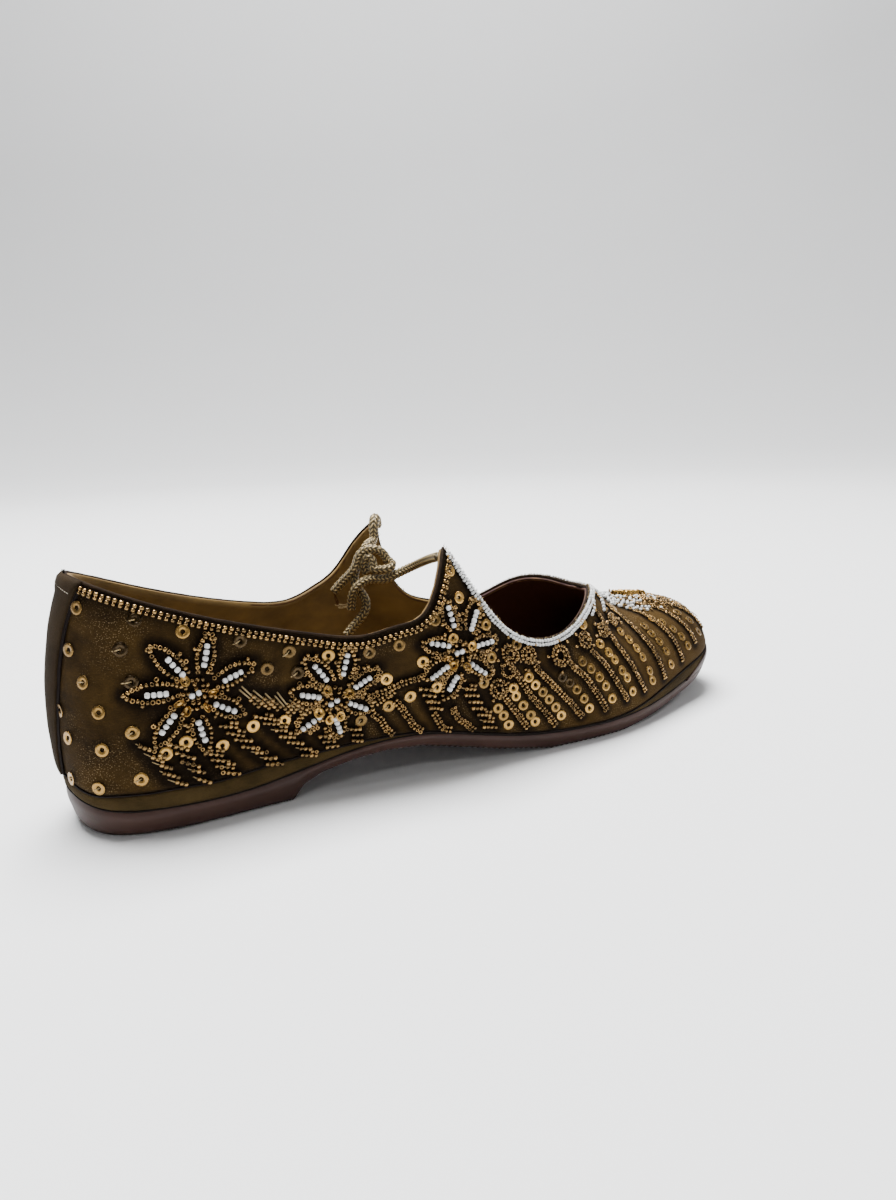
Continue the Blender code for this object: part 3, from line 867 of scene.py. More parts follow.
    def bead(self, name, colour, metallic, roughness, spread):
        """Shiny beads, each with its own shade from the tone attribute: a random tone, and on sequins
        painted reflection.
        """
        made, tree, shader = self.begin(name)
        tone_and_glint = self.node(tree, "ShaderNodeAttribute", attribute_name="tone_and_glint").outputs["Fac"]
        low = scaled(colour, 1 - spread)
        high = scaled(colour, 1 + spread * 0.8)
        cloudy = self.noise(tree, self.coords(tree, "Object"), 1400.0, 2.0, 0.5)
        tree.links.new(self.ramp(tree, tone_and_glint, (0.0, low), (1.0, high)), shader.inputs["Base Color"])
        tree.links.new(
            self.spread(tree, cloudy, roughness * 0.7, roughness * 1.4), shader.inputs["Roughness"]
        )
        shader.inputs["Metallic"].default_value = metallic
        shader.inputs["Coat Weight"].default_value = 0.2
        shader.inputs["Coat Roughness"].default_value = 0.12
        self.bump(tree, shader, cloudy, 0.15, 0.0001)
        return made

    def braid(self, name, colour):
        """Flat metallic threads: painted shade between the plaits and painted highlight on their tops, both
        from the plait attribute.
        """
        made, tree, shader = self.begin(name)
        plait = self.node(tree, "ShaderNodeAttribute", attribute_name="plait").outputs["Fac"]
        threads = self.noise(tree, self.coords(tree, "UV", (1.2, 60.0, 1)), 2.0, 2.0)
        # Painted shade for the grooves between the plaits, painted highlight for the plaits' tops.
        painted_groove_shade = scaled(colour, 0.04)
        painted_plait_highlight = scaled(colour, 2.5)
        tint = self.ramp(tree, plait, (0.40, painted_groove_shade), (0.74, colour), (1.0, painted_plait_highlight))
        between = self.spread(tree, threads, 0.0, 0.6, 0.35, 0.65)
        tint = self.mix(tree, between, tint, scaled(colour, 0.45))
        tree.links.new(tint, shader.inputs["Base Color"])
        shader.inputs["Roughness"].default_value = 0.36
        shader.inputs["Metallic"].default_value = 0.45
        self.bump(tree, shader, self.sums(tree, "ADD", plait, threads), 0.5, 0.0003)
        return made

    def rubber(self, name, colour):
        """Moulded rubber with cloudy colour and gloss and a fine grain."""
        made, tree, shader = self.begin(name)
        broad = self.noise(tree, self.coords(tree, "Object"), 45.0, 4.0, 0.6)
        fine = self.noise(tree, self.coords(tree, "Object"), 1500.0, 3.0, 0.6)
        tint = self.ramp(tree, broad, (0.3, scaled(colour, 0.62)), (0.7, colour))
        tree.links.new(tint, shader.inputs["Base Color"])
        tree.links.new(self.spread(tree, broad, 0.38, 0.60), shader.inputs["Roughness"])
        shader.inputs["Specular IOR Level"].default_value = 0.22
        self.bump(tree, shader, fine, 0.2, 0.0002)
        return made


LOOKS = {}


def make_looks(colours):
    """All materials by name, from the colours set in the panel."""
    made = Looks()
    band, stay, lining = tuple(colours.band), tuple(colours.stay), tuple(colours.lining)
    LOOKS["cloth"] = made.cloth("napped_cloth", tuple(colours.cloth_dark), tuple(colours.cloth_light))
    LOOKS["band"] = made.cloth("band_cloth", scaled(band, 0.35), band, False, False)
    LOOKS["stay"] = made.cloth("stay_cloth", scaled(stay, 0.5), stay, False, False)
    LOOKS["edge"] = made.cloth("edge_cloth", (0.006, 0.004, 0.003), (0.030, 0.018, 0.010), False, False)
    # From 162 to 174 mm round, the lining turns to the vamp lining colour, whose darkness is partly painted
    # shade inside the toe.
    LOOKS["lining"] = made.leather("shoe_lining", lining, tuple(colours.vamp_lining_and_shade), 162.0, 174.0)
    LOOKS["piping"] = made.leather("piping", (0.15, 0.080, 0.034))
    LOOKS["footbed"] = made.leather("footbed", scaled(lining, 0.8))
    LOOKS["gold"] = made.bead("gold_bead", tuple(colours.gold), 0.90, 0.20, 0.60)
    # The sequins' wide tone spread carries their painted reflection.
    LOOKS["sequin"] = made.bead("gold_sequin", tuple(colours.sequin), 0.92, 0.26, 0.90)
    LOOKS["white"] = made.bead("white_bead", tuple(colours.white), 0.0, 0.16, 0.10)
    LOOKS["braid"] = made.braid("gold_braid", tuple(colours.cord))
    LOOKS["rubber"] = made.rubber("sole_rubber", tuple(colours.rubber))
    for name, colour, roughness in (
        ("dark_thread", (0.010, 0.006, 0.005), 0.7),
        ("pale_thread", (0.50, 0.46, 0.36), 0.5),
        ("gold_thread", (0.44, 0.32, 0.16), 0.4),
        ("brown_thread", (0.11, 0.045, 0.015), 0.6),
    ):
        LOOKS[name], shader = made.two_tone(
            name, 2500.0, scaled(colour, 0.5), colour, roughness, 0.4, 0.0001
        )
        shader.inputs["Specular IOR Level"].default_value = 0.1
    floor = tuple(colours.floor)
    LOOKS["floor"], _ = made.two_tone("studio_floor", 3.0, scaled(floor, 0.985), floor, 0.9, 0.02, 0.001)


# ---------------------------------------------------------------- the seam over the band
# Its climb round the sole's edge. In front of the ball the embroidery's own climbs are
# counted from it, so fore_rise is added to them there.
BAND_LINE = (
    # around climb
    (0.0, 4.6), (8.0, 4.0), (19.0, 4.1), (24.0, 4.8), (32.0, 5.2), (40.5, 5.5), (49.0, 5.3), (61.0, 5.6),
    (73.0, 5.0), (79.0, 4.1), (87.0, 2.9), (92.0, 2.3), (103.0, 1.3), (116.0, 0.7), (127.0, 0.5),
    (150.0, 0.5), (170.0, 0.5), (185.0, 0.5), (200.0, 1.3), (214.0, 3.0), (237.0, 5.0), (250.0, 4.9),
    (259.0, 4.5), (270.0, 3.8), (280.0, 3.4),
)
band_line = natural_spline([row[0] for row in BAND_LINE], [row[1] for row in BAND_LINE])


def fore_rise(around):
    """How far the cloth's foot stands above the sole's edge in front of the ball."""
    return max(float(band_line(around)) - 0.5, 0.0) if around > 180 else 0.0


def raised(path):
    """Embroidery places with the cloth's rise over the forepart added."""
    return [(place[0], place[1] + fore_rise(place[0]), *place[2:]) for place in path]


# ---------------------------------------------------------------- where the embroidery lies
# Flowers on each side's skin, and each petal's places as degrees from the way to the toe
# and millimetres from the flower's middle.
FLOWERS = (
    # name     around climb  second row of outline beads
    ("heel",    46.2, 32.2, 0.15),
    ("waist",   87.2, 18.3, 0.45),
    ("wing",   128.5, 28.1, 0.45),
)
PETALS = {
    "heel": (
        # tip      base      white beads from and to
        (73, 17.0, 66, 6.4, 72, 13.7, 69, 8.4),
        (17, 18.7, 21, 6.6, 16, 14.3, 16, 9.2),
        (329, 16.3, 330, 5.6, 328, 12.8, 326, 6.9),
        (278, 17.1, 273, 6.8, 278, 13.5, 273, 8.1),
        (230, 17.3, 221, 6.3, 225, 13.2, 221, 8.0),
        (175, 18.8, 160, 5.1, 174, 12.7, 171, 8.0),
        (129, 18.8, 116, 6.0, 124, 12.6, 119, 6.8),
    ),
    "waist": (
        (70, 16.3, 59, 7.7, 69, 14.0, 67, 8.6),
        (24, 15.8, 18, 6.2, 21, 12.1, 21, 7.5),
        (333, 13.5, 342, 4.4, 332, 11.0, 339, 5.3),
        (279, 11.5, 270, 4.0, 279, 10.0, 272, 5.3),
        (200, 12.7, 206, 4.8, 206, 10.9, 213, 5.7),
        (149, 15.2, 140, 4.7, 149, 10.9, 145, 5.5),
        (116, 17.9, 95, 6.4, 111, 13.7, 104, 8.0),
    ),
    "wing": (
        (102, 16.7, 101, 7.2, 100, 14.0, 98, 8.4),
        (62, 19.4, 57, 8.5, 58, 15.5, 55, 9.3),
        (18, 15.5, 20, 6.4, 18, 13.2, 19, 7.4),
        (332, 13.5, 316, 4.3, 324, 10.9, 318, 5.8),
        (249, 16.7, 264, 6.5, 252, 12.7, 261, 8.3),
        (214, 15.3, 225, 5.2, 221, 12.8, 226, 6.7),
        (171, 12.7, 146, 3.0, 164, 9.8, 154, 4.1),
    ),
}
PETAL_HALF_WIDTH = 2.55
# Rings of beads round a flower's middle: radius and count.
FLOWER_RINGS = ((4.2, 15), (3.0, 9), (1.9, 5))
# Curled sequins round it: the ways in degrees, and how far out.
CURL_WAYS = (-65, 20, 115, 200, 250)
CURL_REACH = 5.0
# Gold beads along a petal's outline, and the millimetres that a white one takes within.
PETAL_PITCH = 1.34 * MM
PETAL_LIFT = 0.52 * MM
WHITE_SPACE = 1.75
WHITE_LIFT = 0.80 * MM

# Sequins with open cloth round them. shade: painted reflection, 1 bright, 0 dull.
LONE_SEQUINS = (
    # around climb shade
    (12.5, 56.0, 0.5), (30.0, 54.5, 0.0), (43.5, 50.0, 0.7), (60.5, 45.0, 0.1), (11.0, 44.0, 0.5),
    (26.5, 46.5, 0.0), (16.5, 36.5, 0.6), (29.5, 37.5, 0.0), (7.0, 25.5, 0.6), (21.0, 29.0, 0.6),
    (10.5, 19.0, 0.7), (29.5, 23.5, 0.6), (21.5, 18.5, 0.7), (37.5, 16.5, 0.8), (43.0, 19.0, 0.8),
    (53.0, 16.0, 0.8), (62.5, 19.5, 0.9), (9.5, 6.5, 0.7), (31.0, 10.0, 0.7), (19.5, 7.0, 0.7),
    (75.0, 38.0, 0.3), (68.0, 35.0, 0.3), (77.0, 31.0, 0.1), (86.5, 33.0, 0.7), (99.0, 30.5, 0.3),
    (108.5, 31.0, 0.4), (104.0, 21.0, 0.9), (111.5, 14.0, 0.8), (104.5, 12.0, 0.6), (116.0, 25.0, 0.8),
    (72.0, 18.0, 0.9), (95.5, 9.5, 0.4), (120.5, 16.5, 0.8), (121.0, 38.0, 0.4), (129.5, 54.0, 1.0),
    (131.0, 45.5, 1.0), (140.0, 37.5, 0.7), (140.5, 27.0, 0.6), (151.0, 31.5, 0.5), (137.0, 18.5, 0.5),
    (181.5, 36.0, 1.0), (205.5, 38.5, 1.0),
)

# Rows of sequins that run down the vamp, each given by its sequins' places and painted reflection shades.
SEQUIN_ROWS = (
    ((142.0, 10.0, 0.5), (144.0, 7.5, 0.5), (146.0, 4.2, 0.7)),
    ((148.0, 17.0, 0.8), (148.8, 14.3, 0.8), (151.5, 11.0, 0.5), (154.3, 7.5, 0.4), (156.0, 5.0, 0.7)),
    (
        (154.2, 20.5, 0.8), (156.5, 17.8, 0.8), (159.2, 15.2, 0.4),
        (161.5, 12.5, 0.5), (164.0, 9.5, 0.5), (166.2, 6.3, 0.8),
    ),
    ((167.5, 19.5, 0.0), (170.2, 17.3, 0.1), (173.0, 14.5, 0.4), (175.6, 10.9, 0.5), (177.6, 7.2, 0.8)),
    ((177.0, 23.5, 0.4), (180.2, 20.5, 0.5), (183.2, 17.0, 0.6), (185.4, 13.5, 0.7), (187.8, 8.5, 0.8)),
    (
        (187.0, 28.0, 1.0), (190.0, 24.2, 1.0), (191.9, 21.2, 1.0),
        (194.5, 16.5, 0.7), (196.2, 13.5, 0.9), (198.0, 8.0, 0.8),
    ),
    (
        (200.5, 29.2, 0.9), (203.6, 25.0, 0.9), (205.8, 20.8, 1.0),
        (207.4, 16.8, 0.8), (209.3, 10.9, 0.7), (209.9, 7.2, 0.8),
    ),
    ((217.8, 25.2, 0.6), (219.2, 21.3, 0.6), (221.2, 17.0, 0.6), (223.0, 12.5, 0.6), (224.0, 7.0, 0.8)),
    ((226.0, 25.5, 1.0), (230.5, 21.8, 0.7), (234.4, 17.0, 0.6), (237.0, 12.7, 0.6), (238.7, 8.4, 0.6)),
    ((243.5, 26.0, 0.8), (247.3, 21.0, 0.6), (249.8, 15.5, 0.5), (250.3, 10.0, 0.5)),
    ((261.5, 26.5, 0.8), (264.8, 20.0, 0.6), (265.5, 13.5, 0.5)),
)

# Double rows of gold beads down the vamp and the quarter.
BEAD_ROWS = (
    ((143.5, 15.0), (146.0, 11.8), (149.2, 8.0), (153.0, 3.2)),
    ((147.5, 24.0), (149.9, 21.2), (152.2, 17.5), (155.1, 13.4), (158.8, 9.4), (163.8, 3.2)),
    ((156.2, 26.5), (158.4, 22.4), (161.7, 19.0), (166.2, 14.3), (169.8, 10.5), (174.4, 4.8)),
    ((171.0, 24.5), (173.1, 22.0), (176.9, 18.3), (179.3, 14.7), (181.9, 10.5), (184.8, 5.2)),
    ((182.0, 26.5), (186.3, 21.5), (188.3, 18.3), (190.8, 13.6), (194.9, 6.0)),
    ((189.5, 44.5), (191.0, 40.0), (192.5, 34.5), (195.2, 26.0), (198.9, 19.4), (201.4, 13.6), (204.8, 5.6)),
    (
        (199.0, 47.5), (200.5, 42.0), (205.0, 36.5), (209.0, 30.5),
        (212.2, 23.6), (214.7, 17.6), (216.6, 11.0), (218.2, 4.4),
    ),
    (
        (209.0, 44.5), (213.5, 39.5), (218.0, 35.5), (222.8, 30.5), (226.0, 25.0),
        (228.6, 19.7), (230.6, 14.0), (232.2, 7.5), (232.6, 5.0),
    ),
    ((223.0, 40.5), (228.0, 36.5), (233.0, 32.0), (238.5, 27.0), (241.4, 21.2), (243.6, 14.9), (244.6, 7.5)),
    ((239.5, 38.5), (245.5, 35.0), (250.5, 31.0), (254.5, 24.5), (257.0, 17.0), (257.6, 9.5)),
    ((258.0, 38.0), (264.0, 35.5), (269.0, 31.0), (271.5, 23.0), (272.2, 14.5), (272.0, 8.5)),
    ((99.4, 10.6), (102.0, 7.8), (103.6, 4.6), (105.6, 2.4)),
    ((106.6, 13.2), (109.2, 9.5), (111.5, 5.9), (113.2, 3.4), (115.3, 2.0)),
    ((119.4, 7.6), (121.2, 4.6), (122.4, 2.6), (125.2, 1.9)),
    ((125.9, 9.3), (127.4, 6.5), (130.2, 4.3), (133.3, 2.0)),
    ((98.2, 16.7), (103.2, 17.3), (108.4, 18.7), (114.3, 19.7)),
    ((100.5, 14.0), (103.0, 15.0), (106.0, 16.6)),
)

# Columns of short slanted stitches. start and step place the stitches, run is each one's own way.
STITCH_COLUMNS = (
    # start          step         run          count
    ((30.3, 20.2), (1.75, -2.85), (4.6, -2.3), 5),
    ((39.0, 19.0), (1.30, -2.65), (4.3, -2.0), 5),
    ((48.2, 14.8), (1.40, -2.20), (4.6, -1.6), 4),
    ((52.4, 22.0), (2.25, -2.55), (4.5, -1.6), 7),
    ((63.4, 22.2), (2.25, -2.80), (4.2, -1.9), 7),
    ((82.6, 9.0), (0.90, -2.10), (3.2, -0.9), 3),
    ((92.4, 7.8), (0.20, -1.95), (2.8, -1.0), 3),
    ((114.8, 16.3), (1.10, -2.20), (3.6, -0.4), 4),
    ((129.2, 16.2), (1.30, -2.15), (4.2, 0.0), 7),
)
# Longer stitches whose thread shows before the beads.
LONG_STITCHES = (
    ((59.6, 31.5), (64.9, 25.3)),
    ((63.0, 29.5), (68.0, 24.0)),
    ((66.5, 27.5), (70.6, 22.5)),
    ((70.1, 26.8), (74.3, 19.5)),
    ((73.6, 23.2), (78.4, 18.6)),
)
# Round patches of beads in rings. rings: their radii.
ROSETTES = (
    # around climb  rings
    (147.8, 28.2, (2.9, 1.4)),
    (146.4, 22.8, (2.2,)),
    (142.4, 16.6, (3.0, 1.5)),
    (155.0, 27.8, (2.6, 1.2)),
    (168.1, 26.6, (3.4, 1.9)),
    (180.2, 30.4, (2.6, 1.3)),
    (190.4, 32.2, (2.4, 1.1)),
    (199.0, 34.5, (2.2, 1.0)),
)


def thread_stitch(bm, side, one, other, radius, arch):
    """A short thread over the cloth between two places, a little arched."""
    picked, _ = spread(skin_spots(side, (one, other), 12), 6)
    points = []
    for k, (point, outward) in enumerate(picked):
        points.append(point + outward * (0.05 * MM + arch * math.sin(math.pi * k / 5)))
    tube(bm, points, radius, sides=5)


def polar(middle, degrees, far):
    """A place at so many degrees and millimetres from another."""
    turn = math.radians(degrees)
    return middle[0] + far * math.cos(turn), middle[1] + far * math.sin(turn)


def petal_outline(middle, petal, share, wider=0.0):
    """A place on a petal's edge; share runs from the base round the tip and back."""
    tip, base = polar(middle, *petal[:2]), polar(middle, *petal[2:4])
    s = 1 - abs(2 * share - 1)
    hand = 1 if share < 0.5 else -1
    wide = (PETAL_HALF_WIDTH * math.sin(math.pi * min(0.14 + 0.86 * s, 1.0)) ** 0.72 + wider) * hand
    length = math.dist(tip, base)
    way = ((tip[0] - base[0]) / length, (tip[1] - base[1]) / length)
    return (
        base[0] + (tip[0] - base[0]) * s - way[1] * wide,
        base[1] + (tip[1] - base[1]) * s + way[0] * wide,
    )


def embroidery_places():
    """(around, climb, radius) of all beadwork, for the shade round it."""
    places = []
    for name, around, climb, _ in FLOWERS:
        places.append((around, climb, 6.0))
        for petal in PETALS[name]:
            for share in np.linspace(0, 1, 15):
                places.append((*petal_outline((around, climb), petal, share), 1.9))
            for share in np.linspace(0, 1, 5):
                degrees, far = (petal[k] * (1 - share) + petal[k + 2] * share for k in (4, 5))
                places.append((*polar((around, climb), degrees, far), 2.0))
    for row in BEAD_ROWS:
        places += [(a, c, 1.7) for a, c in raised(route(row, 16))]
    for start, step, run, count in STITCH_COLUMNS:
        for k in range(count):
            for share in (0.0, 0.35, 0.7, 1.0):
                place = [start[n] + step[n] * k + run[n] * share for n in (0, 1)]
                places.append((*place, 1.6))
    for one, other in LONG_STITCHES:
        places += [(a, c, 1.8) for a, c in route((one, other), 5)]
    for around, climb, rings in ROSETTES:
        places += raised([(around, climb, rings[0] + 1.6)])
    return np.array(places)


SHADED = embroidery_places()


def shade_at(around, climb, top):
    """1 on open cloth, falling to 0 beside beadwork and under the top line's beads."""
    far = np.hypot(SHADED[:, 0] - around, SHADED[:, 1] - climb) - SHADED[:, 2]
    near = float(np.clip(far.min() / 1.8, 0, 1))
    below_top = min(max((top - climb - 3.0) / 2.8, 0.0), 1.0)
    above_seam = min(max((climb - float(band_line(around))) / 1.6, 0.0), 1.0)
    return (0.08 + 0.92 * near) * (0.15 + 0.85 * below_top) * (0.3 + 0.7 * above_seam)


# ---------------------------------------------------------------- grids laid on the last
CLOTH_COLUMNS = 208
CLOTH_ROWS = 48
LINING_COLUMNS = 96
LINING_ROWS = 20
LINING_FOOT = 1.0
BAND_COLUMNS = 220
BAND_ROWS = 6
BAND_THICKNESS = 0.0017
STAY_COLUMNS = 16
STAY_ROWS = 44
# The shares of one side's columns that the throat and the vamp in front of it take.
THROAT_SHARE = 0.32
VAMP_SHARE = 0.25


def side_arounds(side, count):
    """Places round one side with more of them near the wing's peak and the throat's end."""
    throat, vamp = int(count * THROAT_SHARE), int(count * VAMP_SHARE)
    return np.concatenate(
        [
            np.linspace(0, LINES[side].peak / MM, count - throat - vamp + 1),
            throat_arounds(side, np.linspace(0, 1, throat + 1)[1:]),
            np.linspace(LINES[side].end / MM, AROUND_ALL, vamp + 1)[1:],
        ]
    )


def wall_places(columns):
    """A function from share a of the way round, left side first, to (side, around, top's climb)."""
    rounds = {side: side_arounds(side, columns) for side in SIDES}
    tops = {side: [top_climb(side, around) for around in rounds[side]] for side in SIDES}

    def where(a):
        k = round(a * 2 * columns)
        side, k = (1, k) if k <= columns else (-1, 2 * columns - k)
        return side, float(rounds[side][k]), tops[side][k]

    return where


# ---------------------------------------------------------------- the shoe's pieces
def make_upper_cloth(sizes):
    """The outer cloth, with nap, hand-made unevenness and shade round the beadwork."""
    where = wall_places(CLOTH_COLUMNS)
    bm = bmesh.new()
    layer = bm.verts.layers.float.new("shade")
    shades = []

    def chart_place(a, b):
        side, around, top = where(a)
        low = band_line(around) + 0.25
        return side, around, low, low + (top - low) * b, top

    def place(a, b):
        side, around, low, climb, top = chart_place(a, b)
        point, _, _, outward = CHART.place(side, around, min(climb, CHART.total(around) - 1e-4))
        lump = noise.noise(point * 60.0) * 0.30 * MM + noise.noise(point * 210.0) * 0.10 * MM
        edge = max(min((top - climb) / 3.0, (climb - low) / 3.0, 1.0), 0.0)
        tuck = -0.45 * MM * max(1.0 - (climb - low) / 1.4, 0.0) ** 2
        shades.append(shade_at(around, climb, top))
        return point + outward * (lump * edge + tuck)

    def uv_of(a, b):
        side, around, _, climb, _ = chart_place(a, b)
        return (around * side, climb)

    verts = lay_grid(bm, 2 * CLOTH_COLUMNS, CLOTH_ROWS, place, uv_of)
    for v, shade in zip(verts, shades):
        v[layer] = shade
    weld(bm)
    face_out(bm, first_outward(bm))
    piece = finish_piece("upper_cloth", bm, [LOOKS["cloth"], LOOKS["edge"]], ("upper",))
    thicken(piece, sizes.cloth, rim=1, inner=1)


def first_outward(bm):
    """A way that points out of the shoe at the bmesh's first face."""
    bm.faces.ensure_lookup_table()
    middle = bm.faces[0].calc_center_median()
    inner = Vector((min(max(middle.x, -0.080), 0.080), 0, 0.020))
    return middle - inner


def make_lining(sizes):
    """The lining, just inside the cloth."""
    where = wall_places(LINING_COLUMNS)
    bm = bmesh.new()
    inset = sizes.cloth + 0.08 * MM

    def chart_place(a, b):
        side, around, top = where(a)
        return side, around, LINING_FOOT + (top - LINING_FOOT) * b

    def place(a, b):
        side, around, climb = chart_place(a, b)
        point, _, _, outward = CHART.place(side, around, min(climb, CHART.total(around) - 1e-4))
        return point - outward * inset

    def uv_of(a, b):
        side, around, climb = chart_place(a, b)
        return (around, climb * side)

    lay_grid(bm, 2 * LINING_COLUMNS, LINING_ROWS, place, uv_of)
    weld(bm)
    face_out(bm, first_outward(bm))
    piece = finish_piece("upper_lining", bm, [LOOKS["lining"]])
    thicken(piece, sizes.lining)


def make_band():
    """The cloth band between the seam and the sole, full in the middle and pinched at its edges."""
    bm = bmesh.new()

    def chart_place(a, b):
        side = 1 if a <= 0.5 else -1
        around = AROUND_ALL * (1 - abs(2 * a - 1))
        top = float(band_line(around)) - 0.20
        return side, around, 0.20 + (max(top, 0.45) - 0.20) * b

    def place(a, b):
        side, around, climb = chart_place(a, b)
        point, _, _, outward = CHART.place(side, around, climb)
        height = max(float(band_line(around)) - 0.45, 0.2)
        full = math.sin(math.pi * b) ** 0.6 * min(height / 5.0, 1.0) * 0.50 * MM
        wave = noise.noise(point * 140.0) * 0.10 * MM
        return point + outward * (full + wave - 0.30 * MM)

    def uv_of(a, b):
        side, around, climb = chart_place(a, b)
        return (around * side, climb)

    lay_grid(bm, 2 * BAND_COLUMNS, BAND_ROWS, place, uv_of)
    weld(bm)
    face_out(bm, first_outward(bm))
    piece = finish_piece("band", bm, [LOOKS["band"]], ("rand",))
    thicken(piece, BAND_THICKNESS)


def top_path(drop, inset_of):
    """Closed points under the whole top line: the left side to the throat and back."""
    points = []
    for side in SIDES:
        peak, end = LINES[side].peak / MM, LINES[side].end / MM
        back = np.linspace(0, peak, int(peak))
        throat = throat_arounds(side, np.linspace(0, 1, int(end - peak)))
        arounds = np.concatenate([back[:-1], throat])
        spots = edge_row(side, lambda _: drop, arounds)
        points.append([p - out * inset_of(a) * MM for (p, out), a in zip(spots, arounds)])
    return points[0] + points[1][::-1][1:-1]


# The rolled edges: millimetres below the top line, and inwards at the heel and 100 mm on.
EDGES = (
    # name         below inwards       radius     look      slot
    ("top_edge", 0.12, (0.40, 0.55), 0.58 * MM, "edge", "upper_cloth"),
    ("top_piping", 0.55, (1.30, 1.70), 0.60 * MM, "piping", "lining_leather"),
)


def make_edges():
    """The rolled dark edge of the cloth and the pale piping of the lining inside it."""
    for name, drop, insets, radius, look, slot in EDGES:
        bm = bmesh.new()
        points = top_path(drop, lambda a: float(np.interp(a, (0, 100), insets)))
        wave = lambda share: radius * (1 + 0.16 * noise.noise(Vector((share * 90, radius * 1e4, 0))))
        tube(bm, points + points[:1], wave, sides=8)
        weld(bm, 1e-6)
        finish_piece(name, bm, [LOOKS[look]])


# The stay over the heel seam: share of the heel's height, and half its width in millimetres.
STAY = (
    (0.0, 3.0), (0.10, 3.3), (0.30, 5.0), (0.51, 6.3),
    (0.73, 7.8), (0.85, 9.4), (0.92, 10.8), (1.0, 12.8),
)
STAY_FOOT = 4.9
STAY_PADDING = 1.1 * MM


def make_back_stay():
    """The strip over the heel seam, flaring to a folded top, with its dark piped edges."""
    halves = natural_spline(*zip(*STAY))
    bm = bmesh.new()

    def chart_place(a, b):
        across = (2 * a - 1) * float(halves(b))
        side = 1 if across >= 0 else -1
        top = top_climb(side, abs(across))
        return side, abs(across), STAY_FOOT + (top - STAY_FOOT) * b

    def place(a, b):
        side, around, climb = chart_place(a, b)
        point, _, _, outward = CHART.place(side, around, climb)
        ripple = noise.noise(point * 170.0) * 0.12 * MM
        fold = 0.5 * MM * min(max((b - 0.90) / 0.04, 0.0), 1.0)
        fold -= 0.9 * MM * max((b - 0.965) / 0.035, 0.0) ** 2
        full = STAY_PADDING * (1 - (2 * a - 1) ** 2) * math.sin(math.pi * min(b / 0.9, 1.0)) ** 0.6
        return point + outward * (0.25 * MM + full + ripple * (1 - abs(2 * a - 1)) + fold)

    def uv_of(a, b):
        side, around, climb = chart_place(a, b)
        return (around * side, climb)

    lay_grid(bm, STAY_COLUMNS, STAY_ROWS, place, uv_of)
    face_out(bm, Vector((-1, 0, 0)))
    piece = finish_piece("back_stay_cloth", bm, [LOOKS["stay"]], ("back_stay",))
    thicken(piece, 0.0008, offset=1.0)
    edges = bmesh.new()
    for side in SIDES:
        for beside, radius in ((0.10, 0.46), (0.75, 0.30)):
            points = []
            for b in np.linspace(0, 0.975, 60):
                half = float(halves(b)) + beside
                top = top_climb(side, half)
                point, _, _, outward = CHART.place(side, half, STAY_FOOT + (top - STAY_FOOT) * b)
                points.append(point + outward * (0.30 + 0.12 * noise.noise(point * 300)) * MM)
            tube(edges, points, radius * MM, sides=6)
    stitches = bmesh.new()
    for side in SIDES:
        for around in np.arange(0.5, 9.5, 1.15):
            spots = []
            for a in (around, around + 0.4, around + 0.8):
                climb = top_climb(side, a) - 2.9 - 0.12 * a
                point, _, _, outward = CHART.place(side, a, climb)
                spots.append(point + outward * 1.42 * MM)
            tube(stitches, spots, 0.12 * MM, sides=5)
    finish_piece("stay_seams", edges, [LOOKS["dark_thread"]])
    finish_piece("stay_stitches", stitches, [LOOKS["pale_thread"]])


# How far the beads lie below the top line: at the heel, the waist and the wing.
COLLAR_BEADS = ((0, 60, 100, 130), (1.5, 1.7, 2.1, 1.9))
COLLAR_BEADS_START = 13.0
COLLAR_PITCH = 1.76 * MM
# The two beads of each pair: how much further down, and their size.
COLLAR_PAIR = ((0.0, 1.0), (1.14, 0.95))
# Two rows round the throat: how far below the top line at the peak, 12 mm and 30 mm past it.
THROAT_ROWS = ((-0.30, 0.35, 0.70), (0.80, 1.50, 1.95))
THROAT_PITCH = 1.24 * MM
EDGE_BEAD_LIFT = 0.50 * MM


def make_edge_beads(sizes):
    """Pairs of gold beads under the collar, and white beads round the throat."""
    rng = random.Random(11)
    gold = bead_shape(sizes, "collar gold")
    white = bead_shape(sizes, "throat white")
    copies, white_copies = [], []
    for side in SIDES:
        peak = LINES[side].peak / MM
        for below, size in COLLAR_PAIR:
            depth = lambda a: float(np.interp(a, *COLLAR_BEADS)) + below
            spots = edge_row(side, depth, np.linspace(COLLAR_BEADS_START, peak - 1.2, 110))
            row = beads_along(gold, spots, COLLAR_PITCH, EDGE_BEAD_LIFT, rng, wander=0.06, tilt=0.2)
            copies += [(shape, matrix @ Matrix.Scale(size, 4), tone_and_glint) for shape, matrix, tone_and_glint in row]
        arounds = throat_arounds(side, np.linspace(0.0, 1, 110))
        arounds = arounds[arounds > peak + 0.6]
        for depths in THROAT_ROWS:
            depth = lambda a: float(np.interp(a, (peak, peak + 12, peak + 30), depths))
            spots = edge_row(side, depth, arounds)
            white_copies += beads_along(
                white, spots, THROAT_PITCH, EDGE_BEAD_LIFT, rng, wander=0.10, tilt=0.3
            )
    many_copies("collar_beads", copies, LOOKS["gold"])
    many_copies("throat_beads", white_copies, LOOKS["white"])


